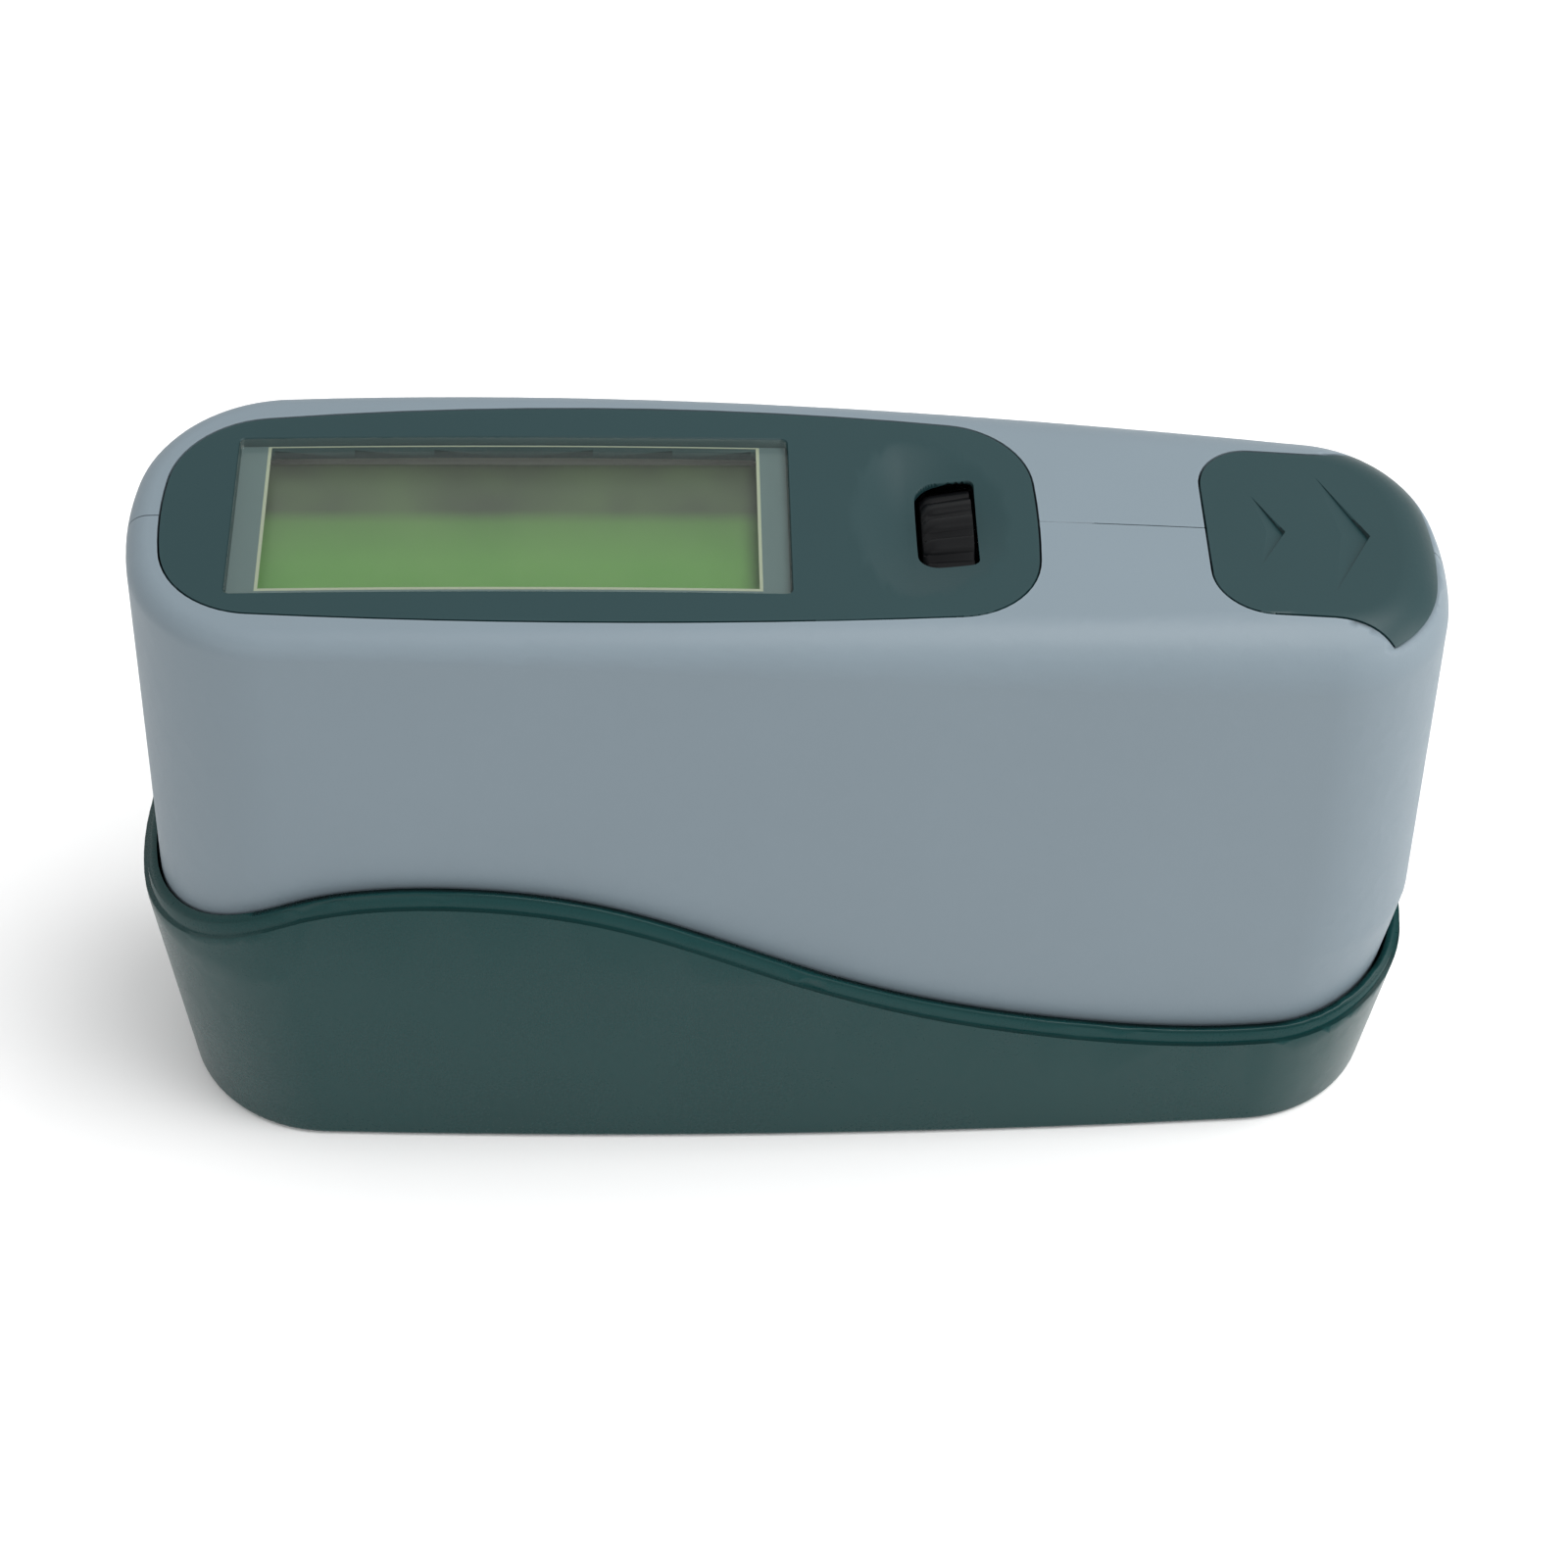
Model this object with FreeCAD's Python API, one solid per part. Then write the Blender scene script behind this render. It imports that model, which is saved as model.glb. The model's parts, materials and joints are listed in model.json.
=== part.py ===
import FreeCAD, Part
import math
import os
from functools import lru_cache

# Portable sixty-degree gloss meter standing in its calibration holder.
# Millimetres. X runs along the meter to its battery end, Y to the back, Z up.
# The origin is the middle of the holder's foot, on the surface it stands on.

Vec = FreeCAD.Vector

# Housing. Its two moulded halves meet on Y = 0.
HOUSING_BOTTOM = 5.5          # underside of the meter while it stands in the holder
DRAFT_TOP = 24.0              # the walls lean inwards below this height
CROWN_X = -23.0               # highest place of the arched top
CROWN_Z = 64.2
CROWN_R = 1000.0              # radius of the arched top, along X
ABOVE_ALL = 72.0              # higher than anything in the meter
TOP_ZONE = 50.0               # cutters for openings in the top start here, under the top wall
REACH_X = 70.0                # cutters that take everything reach this far
REACH_Y = 40.0
WALL = 2.0
SEAM = 0.12                   # hairline between the halves
TOP_EDGE_LEFT = 2.0           # rounding of the top edge at the display end
TOP_EDGE_RIGHT = 5.2          # and over the battery end; it grows along the long sides
BULGE = dict(widest=-12.0, side_r=900.0, left_r=30.0, right_r=30.0)
PLAN_FOOT = dict(BULGE, left=-54.3, right=54.3, half=14.4, left_corner=12.0, right_corner=12.0)
PLAN_DRAFT = dict(BULGE, left=-56.9, right=56.9, half=16.3, left_corner=13.2, right_corner=12.4)
PLAN_TOP = dict(BULGE, left=-56.1, right=54.9, half=16.3, left_corner=12.5, right_corner=11.5)

# Holder: the same plan, grown by the running gap and its own wall.
HOLDER_GAP = 0.3
HOLDER_WALL = 1.3
HOLDER_FLOOR = 1.8
HOLDER_REST = 5.35            # top of the ribs that the meter stands on
RIM_WAVE = [(-64.0, 25.6), (-52.0, 28.5), (-43.4, 33.2), (-30.6, 35.4), (-17.0, 33.4), (-4.0, 27.6),
            (10.8, 20.6), (26.0, 16.1), (41.8, 14.1), (52.0, 15.3), (64.0, 19.5)]
RIM_LIP = 1.5                 # height of the thinner lip along the rim
RIM_STEP = 0.4                # how far the lip stands back from the wall

# Measuring geometry: both beams meet on the tile's face, sixty degrees off its normal.
SPOT_X = -9.0
SPOT_Z = 5.0
BEAM_ANGLE = 60.0
TILE = dict(length=50.0, width=20.0, thick=2.9)
TILE_PAD = 0.3

# Base plate.
BASE_TOP = 8.0
BASE_GAP = 0.15
APERTURE = (25.0, 9.0)
BASE_SCREW_SPOTS = [(-44.0, -9.6), (-44.0, 9.6), (31.5, -9.9), (31.5, 9.9)]
BLOCK_SCREW_SPOTS = [(SPOT_X - 22.0, 0.0), (SPOT_X + 22.0, 0.0)]
SCREW_R = 1.1
SCREW_HEAD_R = 2.1
SCREW_HEAD = 1.2
SCREW_LENGTH = 12.0
BLOCK_SCREW_LENGTH = 6.0
POST_WALL = 0.8
POST_TOP = 21.0
POST_WEB = 1.2                # webs that tie the posts to the wall

# Optical block: distances are measured from the spot along each beam.
BLOCK_HALF = 7.5
BLOCK_END = 45.0
BEAM_BORE_R = 4.2
LENS_BORE_R = 5.0
LENS_AT = 24.0
LENS_THICK = 2.4
LENS_BALL_R = 12.0
SEATED_R = LENS_BORE_R - 0.05 # lenses, rings and stops in the lens bore
RING_LENGTH = 2.2
STOP_AT = 36.0
END_BOARD = 1.6
END_BOARD_SIZE = (12.0, 13.0)
END_SCREW_Y = (-5.3, 5.3)

# Display panel and what lies under it.
PANEL = dict(widest=-17.0, side_r=330.0, left_r=35.0, right_r=75.0, left=-53.3, right=20.0, half=13.1,
             left_corner=8.5, right_corner=7.5)
PANEL_GAP = 0.18
PANEL_THICK = 1.9
PANEL_FLANGE = 0.9
FLANGE_THICK = 1.0
WINDOW = dict(x0=-47.4, x1=-0.9, half=9.5, thick=0.8, sunk=0.1)
VIEW = dict(x0=-45.0, x1=-3.4, half=8.9)
LCD = dict(x0=-46.6, x1=-1.8, half=10.2, low=59.0, high=61.4)
BOARD = dict(x0=-53.0, x1=7.6, half=11.2, low=54.0, high=55.6)
BOARD_POSTS = [(-51.0, 0.0), (4.4, 8.6), (4.4, -8.6)]
POST_R = 1.8
POST_HOLE_R = 0.9
POST_HOLE_TOP = 61.0

# Thumbwheel and its potentiometer, turning about X. The rim is a cone, larger on the right.
WHEEL_X = (10.3, 14.55)
WHEEL_Z = 54.0
WHEEL_R_LEFT = 8.95
WHEEL_R_RIGHT = 9.6
WHEEL_SHOULDER = 0.45         # chamfer of the rim's left edge
WHEEL_GROOVES = 24
GROOVE_R = 0.5
HUB_RECESS_R = 6.4
HUB_RECESS = 1.2
WHEEL_SLOT = dict(x0=9.8, x1=14.9, half=5.25, corner=0.7, left_corner=1.8)
SHAFT_R = 1.5
RUNNING_FIT = 0.05
POT_R = 7.0
POT_X = (14.95, 18.6)
WHEEL_BOARD = dict(thick=1.6, half=9.0, low=38.5, high=60.0)

# Thumb scoop round the wheel: steep on its left, then a ramp that runs out to the right.
SCOOP = dict(left=4.8, deepest=8.9, right=17.4, depth=1.5, axis_height=30.0)
SCOOP_SKIN = 0.8

# Battery, its sleeve and its sliding door.
CELL_X = 44.0
CELL_R = 7.25
CELL_LOW = 9.3
CELL_HIGH = 59.6
CELL_BUTTON = 1.2             # height of the positive button
SLEEVE_R = 8.4
DECK = dict(x0=35.6, x1=53.2, half=10.2, low=57.0, high=58.4, corner=3.0)
MOUTH = dict(x0=36.0, x1=51.0, half=9.0, corner=3.0)
DOOR_LEFT = 34.4
DOOR_HALF = 10.0
DOOR_CORNER = 4.7
DOOR_FLARE_X = 44.0
DOOR_FLARE_R = 9.0
DOOR_FLARE_TURN = 40.0
DOOR_EDGE_Z = 59.9
DOOR_SKIN = 1.5
DOOR_GAP = 0.2
DOOR_CLEAR_Z = 60.0           # nothing under the door hangs lower, so that it slides out over the wall
DOOR_RAIL = dict(x0=37.5, x1=46.5, y=8.4, thick=1.0)
CHEVRONS = [dict(tip=41.1, reach=4.3, back=1.6, length=2.5), dict(tip=48.4, reach=7.2, back=2.5, length=3.9)]
CHEVRON_DEPTH = 0.5

# Leads.
LEAD_R = 0.5
LEAD_BEND = 1.6


# Shared forms.

def arch_z(x, drop=0.0):
    """Height of the arched top at x, or of a surface that lies drop below it."""
    radius = CROWN_R - drop
    return CROWN_Z - CROWN_R + math.sqrt(radius ** 2 - (x - CROWN_X) ** 2)


def meeting(centre_a, radius_a, centre_b, radius_b, side):
    """The crossing of two circles that lies further to the given side (+1 right, -1 left)."""
    dx = centre_b[0] - centre_a[0]
    dy = centre_b[1] - centre_a[1]
    apart = math.hypot(dx, dy)
    along = (radius_a ** 2 - radius_b ** 2 + apart ** 2) / (2 * apart)
    across = math.sqrt(radius_a ** 2 - along ** 2)
    foot = (centre_a[0] + along * dx / apart, centre_a[1] + along * dy / apart)
    one = (foot[0] - across * dy / apart, foot[1] + across * dx / apart)
    two = (foot[0] + across * dy / apart, foot[1] - across * dx / apart)
    return one if side * (one[0] - two[0]) > 0 else two


def from_centre(centre, through, radius):
    """The point at a radius from a centre, on the ray through another point."""
    dx = through[0] - centre[0]
    dy = through[1] - centre[1]
    scale = radius / math.hypot(dx, dy)
    return (centre[0] + dx * scale, centre[1] + dy * scale)


def corner_points(plan, end, grow):
    """A corner's tangent point on the bulged end, its middle, and its tangent point on the side."""
    side = 1 if end == "right" else -1
    end_r = plan[end + "_r"]
    corner_r = plan[end + "_corner"]
    end_centre = (plan[end] - side * end_r, 0.0)
    side_centre = (plan["widest"], plan["half"] - plan["side_r"])
    centre = meeting(end_centre, end_r - corner_r, side_centre, plan["side_r"] - corner_r, side)
    on_end = from_centre(end_centre, centre, end_r + grow)
    on_side = from_centre(side_centre, centre, plan["side_r"] + grow)
    half_way = ((on_end[0] + on_side[0]) / 2, (on_end[1] + on_side[1]) / 2)
    return on_end, from_centre(centre, half_way, corner_r + grow), on_side


def outline(plan, z, grow=0.0):
    """Closed wire: two bulged sides and two bulged ends joined by tangent corner arcs."""
    right_end, right_mid, right_side = corner_points(plan, "right", grow)
    left_end, left_mid, left_side = corner_points(plan, "left", grow)

    def at(point, flip=1):
        return Vec(point[0], flip * point[1], z)

    def arc(start, middle, end):
        return Part.Arc(start, middle, end).toShape()

    tip_right = Vec(plan["right"] + grow, 0, z)
    tip_left = Vec(plan["left"] - grow, 0, z)
    crest = (plan["widest"], plan["half"] + grow)
    return Part.Wire([
        arc(at(right_end, -1), tip_right, at(right_end)),
        arc(at(right_end), at(right_mid), at(right_side)),
        arc(at(right_side), at(crest), at(left_side)),
        arc(at(left_side), at(left_mid), at(left_end)),
        arc(at(left_end), tip_left, at(left_end, -1)),
        arc(at(left_end, -1), at(left_mid, -1), at(left_side, -1)),
        arc(at(left_side, -1), at(crest, -1), at(right_side, -1)),
        arc(at(right_side, -1), at(right_mid, -1), at(right_end, -1)),
    ])


def prism(plan, low, high, grow=0.0):
    """Straight solid of a plan outline between two heights."""
    return Part.Face(outline(plan, low, grow)).extrude(Vec(0, 0, high - low))


def block(x0, x1, y0, y1, z0, z1):
    return Part.makeBox(x1 - x0, y1 - y0, z1 - z0, Vec(x0, y0, z0))


def slab(low, high, front=-REACH_Y, back=REACH_Y):
    """Everything between two heights, and between two places along Y."""
    return block(-REACH_X, REACH_X, front, back, low, high)


def drafted(grow):
    """Body form without its top: leaning lower walls, nearly upright upper walls."""
    lower = Part.makeLoft([outline(PLAN_FOOT, 0.0, grow), outline(PLAN_DRAFT, DRAFT_TOP, grow)], True, True)
    upper = Part.makeLoft([outline(PLAN_DRAFT, DRAFT_TOP, grow), outline(PLAN_TOP, ABOVE_ALL, grow)], True, True)
    return lower.fuse(upper).Solids[0]


def under_arch(drop):
    """Everything below the arched top lowered by drop."""
    reach = 90.0
    edge = arch_z(reach, drop)
    left = Vec(2 * CROWN_X - reach, -reach, edge)
    right = Vec(reach, -reach, edge)
    crown = Vec(CROWN_X, -reach, CROWN_Z - drop)
    low_right = Vec(right.x, -reach, -reach)
    low_left = Vec(left.x, -reach, -reach)
    wire = Part.Wire([
        Part.Arc(left, crown, right).toShape(),
        Part.makeLine(right, low_right),
        Part.makeLine(low_right, low_left),
        Part.makeLine(low_left, left),
    ])
    return Part.Face(wire).extrude(Vec(0, 2 * reach, 0))


def top_edge_radius(x, inset):
    """Rounding of the housing's top edge at x, for a surface inset from the outside."""
    radius = TOP_EDGE_RIGHT if x > 0 else TOP_EDGE_LEFT
    return max(radius - inset, 0.4)


def round_top_edge(solid, inset):
    """Round the edge between the walls and the arched top, fuller over the battery end."""
    top = max(solid.Faces, key=lambda face: face.CenterOfMass.z)
    radii = []
    for index, edge in enumerate(solid.Edges, start=1):
        if any(edge.isSame(other) for other in top.Edges):
            start = edge.valueAt(edge.FirstParameter)
            end = edge.valueAt(edge.LastParameter)
            radii.append((index, top_edge_radius(start.x, inset), top_edge_radius(end.x, inset)))
    document = FreeCAD.newDocument("rounding")
    base = document.addObject("Part::Feature", "base")
    base.Shape = solid
    fillet = document.addObject("Part::Fillet", "fillet")
    fillet.Base = base
    fillet.Edges = radii
    document.recompute()
    rounded = fillet.Shape.Solids[0].copy()
    FreeCAD.closeDocument(document.Name)
    return rounded


@lru_cache(maxsize=None)
def housing_form(inset):
    """The meter's outer form, or the form of a surface that lies inset inside it."""
    return round_top_edge(drafted(-inset).common(under_arch(inset)).Solids[0], inset)


def holder_form(grow):
    return drafted(grow)


def fused(shapes):
    return shapes[0].fuse(shapes[1:]).removeSplitter()


def rod(radius, start, end):
    """Cylinder between two points."""
    start = Vec(*start)
    along = Vec(*end) - start
    return Part.makeCylinder(radius, along.Length, start, along)


def rounded_block(x0, x1, half, z0, z1, corner, left_corner=None):
    """Upright block, symmetrical about Y = 0, with rounded vertical edges."""
    box = block(x0, x1, -half, half, z0, z1)
    for x, radius in ((x0, left_corner or corner), (x1, corner)):
        upright = [edge for edge in box.Edges
                   if abs(edge.CenterOfMass.x - x) < 0.01 and abs(edge.tangentAt(0).z) > 0.9]
        box = box.makeFillet(radius, upright)
    return box


def skin(plan_prism, top_drop, thick):
    """The layer of a prism that follows the arched top."""
    return plan_prism.common(under_arch(top_drop)).cut(under_arch(top_drop + thick))


def lead(points, radius, bend):
    """Round wire: straight runs joined by tangent arcs of one bend radius."""
    corners = [Vec(*point) for point in points]
    pieces = []
    start = corners[0]
    for before, corner, after in zip(corners, corners[1:], corners[2:]):
        arriving = (corner - before).normalize()
        leaving = (after - corner).normalize()
        turn = arriving.getAngle(leaving)
        back = bend * math.tan(turn / 2)
        enter = corner - arriving * back
        centre = corner + (leaving - arriving).normalize() * (bend / math.cos(turn / 2))
        pieces.append(rod(radius, start, enter))
        section = Part.Face(Part.Wire(Part.makeCircle(radius, enter, arriving)))
        pieces.append(section.revolve(centre, arriving.cross(leaving), math.degrees(turn)))
        start = corner + leaving * back
    pieces.append(rod(radius, start, corners[-1]))
    return fused(pieces)


# Holder.

def under_rim(drop):
    """Everything below the waved rim lowered by drop."""
    reach = 40.0
    curve = Part.BSplineCurve()
    curve.interpolate([Vec(x, -reach, z - drop) for x, z in RIM_WAVE])
    first = curve.StartPoint
    last = curve.EndPoint
    low_left = Vec(first.x, -reach, -reach)
    low_right = Vec(last.x, -reach, -reach)
    wire = Part.Wire([
        curve.toShape(),
        Part.makeLine(last, low_right),
        Part.makeLine(low_right, low_left),
        Part.makeLine(low_left, first),
    ])
    return Part.Face(wire).extrude(Vec(0, 2 * reach, 0))


def holder_cup():
    """Drafted cup with a waved, stepped rim and inner ribs that frame the tile."""
    outside = holder_form(HOLDER_GAP + HOLDER_WALL)
    foot_edges = [edge for edge in outside.Edges if edge.BoundBox.ZMax < 0.01]
    outside = outside.makeFillet(0.8, foot_edges)
    cavity = holder_form(HOLDER_GAP).cut(slab(-1, HOLDER_FLOOR))
    cup = outside.common(under_rim(0.0)).cut(cavity)
    step = outside.cut(holder_form(HOLDER_GAP + HOLDER_WALL - RIM_STEP)).cut(under_rim(RIM_LIP))
    cup = cup.cut(step)
    return fused([cup] + holder_ribs())


def holder_ribs():
    """Ribs on the floor: a frame round the tile and cross ribs out to the ends."""
    rib = 1.4
    room = 0.25                   # between the tile and its frame
    cross_ribs = (-47.0, 26.0, 36.0, 46.0)
    x0 = SPOT_X - TILE["length"] / 2 - room
    x1 = SPOT_X + TILE["length"] / 2 + room
    half = TILE["width"] / 2 + room
    low = HOLDER_FLOOR - 0.5
    frame = block(x0 - rib, x1 + rib, -half - rib, half + rib, low, HOLDER_REST)
    frame = frame.cut(block(x0, x1, -half, half, low - 1, HOLDER_REST + 1))
    ribs = [frame]
    inside = holder_form(HOLDER_GAP + HOLDER_WALL / 2)
    for x in cross_ribs:
        ribs.append(block(x, x + rib, -REACH_Y, REACH_Y, low, HOLDER_REST).common(inside))
    ribs.append(block(cross_ribs[1], cross_ribs[-1], -rib / 2, rib / 2, low, HOLDER_REST))
    return ribs


def tile_pad():
    """Adhesive pad under the tile."""
    return rounded_block(SPOT_X - 22, SPOT_X + 22, 8.0, HOLDER_FLOOR, HOLDER_FLOOR + TILE_PAD, 1.0)


def calibration_tile():
    """Polished black glass standard, chamfered round its upper edge."""
    low = HOLDER_FLOOR + TILE_PAD
    half_length = TILE["length"] / 2
    tile = block(SPOT_X - half_length, SPOT_X + half_length, -TILE["width"] / 2, TILE["width"] / 2,
                 low, low + TILE["thick"])
    upper = [edge for edge in tile.Edges if edge.BoundBox.ZMin > low + 1]
    return tile.makeChamfer(0.4, upper)


# Housing shells.

def door_plan(z, grow):
    """Door outline: rounded left corners, straight sides, then a flare to the battery end."""
    left = DOOR_LEFT - grow
    half = DOOR_HALF + grow
    corner = DOOR_CORNER + grow
    flare = DOOR_FLARE_R - grow
    turn = math.radians(DOOR_FLARE_TURN)
    reach = 14.0
    diagonal = corner * (1 - math.sqrt(0.5))
    flare_mid = Vec(DOOR_FLARE_X + flare * math.sin(turn / 2), half + flare * (1 - math.cos(turn / 2)), z)
    flare_end = Vec(DOOR_FLARE_X + flare * math.sin(turn), half + flare * (1 - math.cos(turn)), z)
    far = Vec(flare_end.x + reach * math.cos(turn), flare_end.y + reach * math.sin(turn), z)
    upper = [
        Vec(left, half - corner, z), Vec(left + diagonal, half - diagonal, z), Vec(left + corner, half, z),
        Vec(DOOR_FLARE_X, half, z), flare_mid, flare_end, far,
    ]
    lower = [Vec(point.x, -point.y, z) for point in upper]

    def half_of(points):
        return [
            Part.Arc(points[0], points[1], points[2]).toShape(),
            Part.makeLine(points[2], points[3]),
            Part.Arc(points[3], points[4], points[5]).toShape(),
            Part.makeLine(points[5], points[6]),
        ]

    edges = half_of(upper) + [Part.makeLine(upper[6], lower[6])] + half_of(lower)
    edges.append(Part.makeLine(lower[0], upper[0]))
    return Part.Wire(Part.__sortEdges__(edges))


def door_zone(grow):
    """Space that the door takes out of the housing's top."""
    low = DOOR_EDGE_Z - grow
    return Part.Face(door_plan(low, grow)).extrude(Vec(0, 0, ABOVE_ALL - low))


def housing_shell():
    """Hollow housing with its openings, before it is split into halves."""
    outer = housing_form(0.0).cut(slab(-1, HOUSING_BOTTOM))
    hollow = housing_form(WALL)
    shell = outer.cut(hollow)
    posts = [rod(SCREW_R + POST_WALL, (x, y, BASE_TOP), (x, y, POST_TOP)) for x, y in BASE_SCREW_SPOTS]
    half_web = POST_WEB / 2
    webs = [block(x - half_web, x + half_web, min(y, 2.2 * y), max(y, 2.2 * y), BASE_TOP, POST_TOP)
            for x, y in BASE_SCREW_SPOTS]
    inside = housing_form(WALL / 2).common(slab(BASE_TOP, POST_TOP + 1))
    shell = shell.fuse([piece.common(inside) for piece in posts + webs])
    shell = shell.cut([rod(SCREW_R, (x, y, BASE_TOP - 1), (x, y, POST_TOP - 2.0)) for x, y in BASE_SCREW_SPOTS])
    shell = shell.cut(prism(PANEL, TOP_ZONE, ABOVE_ALL, PANEL_GAP))
    mouth = rounded_block(MOUTH["x0"], MOUTH["x1"], MOUTH["half"], DECK["low"], ABOVE_ALL, MOUTH["corner"])
    return shell.cut([door_zone(DOOR_GAP), mouth])


def shell_half(shell, side):
    """The half on one side of the seam: side is -1 in front, +1 behind."""
    if side < 0:
        return shell.common(slab(-1, ABOVE_ALL, back=-SEAM / 2))
    return shell.common(slab(-1, ABOVE_ALL, front=SEAM / 2))


def base_plate():
    """Black plate under the meter with the oval measuring aperture and countersunk holes."""
    foot = dict(PLAN_FOOT)
    share = HOUSING_BOTTOM / DRAFT_TOP
    for key in ("left", "right", "half"):
        foot[key] = PLAN_FOOT[key] + share * (PLAN_DRAFT[key] - PLAN_FOOT[key])
    plate = prism(foot, HOUSING_BOTTOM, BASE_TOP, -(WALL + BASE_GAP))
    length, width = APERTURE
    half = length / 2
    window = rounded_block(SPOT_X - half, SPOT_X + half, width / 2, 4.0, 9.0, width / 2 - 0.05)
    plate = plate.cut(window)
    holes = []
    for x, y in BASE_SCREW_SPOTS + BLOCK_SCREW_SPOTS:
        holes.append(rod(SCREW_R + 0.1, (x, y, 4.0), (x, y, 9.0)))
        holes.append(Part.makeCone(SCREW_HEAD_R + 0.1, SCREW_R + 0.1, SCREW_HEAD, Vec(x, y, HOUSING_BOTTOM)))
    return plate.cut(holes)


def screw(x, y, low, length):
    """Countersunk screw standing on its head, pointing up, with a cross recess."""
    shank_r = SCREW_R - 0.02
    shank = rod(shank_r, (x, y, low), (x, y, low + length))
    head = Part.makeCone(SCREW_HEAD_R, shank_r, SCREW_HEAD, Vec(x, y, low))
    slot = 0.28
    arm = 1.1
    deep = low + 0.6
    cross = block(x - arm, x + arm, y - slot, y + slot, low - 1, deep)
    cross = cross.fuse(block(x - slot, x + slot, y - arm, y + arm, low - 1, deep))
    return shank.fuse(head).cut(cross)


def base_screws():
    return Part.makeCompound([screw(x, y, HOUSING_BOTTOM, SCREW_LENGTH) for x, y in BASE_SCREW_SPOTS])


def block_screws():
    return Part.makeCompound([screw(x, y, HOUSING_BOTTOM, BLOCK_SCREW_LENGTH) for x, y in BLOCK_SCREW_SPOTS])


# Optics.

def along_beam(shape, side):
    """Turn a shape built upwards from the spot into a beam: side -1 is the source, +1 the receiver."""
    placed = shape.copy()
    placed.rotate(Vec(0, 0, 0), Vec(0, 1, 0), side * BEAM_ANGLE)
    placed.translate(Vec(SPOT_X, 0, SPOT_Z))
    return placed


def bore(radius, near, far):
    return Part.makeCylinder(radius, far - near, Vec(0, 0, near))


def optical_block():
    """Block with two beam bores that meet over the aperture and seat the lenses."""
    lean = math.radians(BEAM_ANGLE)
    ahead = (math.sin(lean), math.cos(lean))
    up = (-math.cos(lean), math.sin(lean))

    def place(distance, offset):
        x = ahead[0] * distance + up[0] * offset
        return (x, SPOT_Z + ahead[1] * distance + up[1] * offset)

    foot = BASE_TOP
    right = [(31.0, foot), place(BLOCK_END, -7.5), place(BLOCK_END, 8.0), place(22.0, 8.0), (8.0, foot + 11.0)]
    left = [(-x, z) for x, z in reversed(right)]
    corners = [Vec(SPOT_X + x, -BLOCK_HALF, z) for x, z in right + left]
    body = Part.Face(Part.makePolygon(corners + corners[:1])).extrude(Vec(0, 2 * BLOCK_HALF, 0))
    upright = [edge for edge in body.Edges if abs(edge.tangentAt(0).y) > 0.9 and edge.BoundBox.ZMin > foot + 1]
    body = body.makeFillet(1.5, upright)
    for side in (-1, 1):
        body = body.cut(along_beam(bore(BEAM_BORE_R, 2.0, 60.0), side))
        body = body.cut(along_beam(bore(LENS_BORE_R, LENS_AT, 60.0), side))
    holes = [rod(SCREW_R, (x, y, 5.0), (x, y, 12.5)) for x, y in BLOCK_SCREW_SPOTS]
    return body.cut(holes)


def lens(side):
    """Plano-convex lens, its curved face away from the spot."""
    ball = Part.makeSphere(LENS_BALL_R, Vec(0, 0, LENS_AT + LENS_THICK - LENS_BALL_R))
    disc = bore(SEATED_R, LENS_AT, LENS_AT + LENS_THICK)
    return along_beam(disc.common(ball), side)


def lens_rings():
    """Retaining rings behind the two lenses."""
    near = LENS_AT + LENS_THICK
    ring = bore(SEATED_R, near, near + RING_LENGTH).cut(bore(BEAM_BORE_R, near - 1, near + 2 * RING_LENGTH))
    return Part.makeCompound([along_beam(ring, side) for side in (-1, 1)])


def field_stops():
    """Slit discs that set the beam apertures."""
    disc = bore(SEATED_R, STOP_AT, STOP_AT + 0.8)
    slit = Part.makeBox(1.0, 2.4, 3.0, Vec(-0.5, -1.2, STOP_AT - 1))
    return Part.makeCompound([along_beam(disc.cut(slit), side) for side in (-1, 1)])


def end_board(side):
    """Small circuit board closing a beam's outer end."""
    length, width = END_BOARD_SIZE
    board = Part.makeBox(length, width, END_BOARD, Vec(-length / 2, -width / 2, BLOCK_END))
    upright = [edge for edge in board.Edges if abs(edge.tangentAt(0).z) > 0.9]
    board = board.makeFillet(1.0, upright)
    for y in END_SCREW_Y:
        board = board.cut(Part.makeCylinder(0.75, 6.0, Vec(0, y, BLOCK_END - 1)))
    return along_beam(board, side)


def end_board_screws():
    """Small screws, two through each end board."""
    screws = []
    for side in (-1, 1):
        for y in END_SCREW_Y:
            low = BLOCK_END + END_BOARD
            screws.append(along_beam(Part.makeCylinder(1.2, 0.9, Vec(0, y, low)), side))
    return Part.makeCompound(screws)


def lamp():
    """Light source: a domed lamp on its flange."""
    dome_r = 2.45
    top = BLOCK_END - 3.6
    body = bore(dome_r, top, BLOCK_END - 0.05).fuse(Part.makeSphere(dome_r, Vec(0, 0, top)))
    flange = bore(2.9, BLOCK_END - 1.0, BLOCK_END - 0.05)
    return along_beam(fused([body, flange]), -1)


def photodiode():
    """Light receiver: a metal can with a window step."""
    can = bore(4.0, BLOCK_END - 3.2, BLOCK_END - 0.05)
    flange = bore(4.6, BLOCK_END - 0.8, BLOCK_END - 0.05)
    window = bore(2.4, BLOCK_END - 3.6, BLOCK_END - 2.9)
    return along_beam(fused([can, flange]).cut(window), 1)


# Display.

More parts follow.
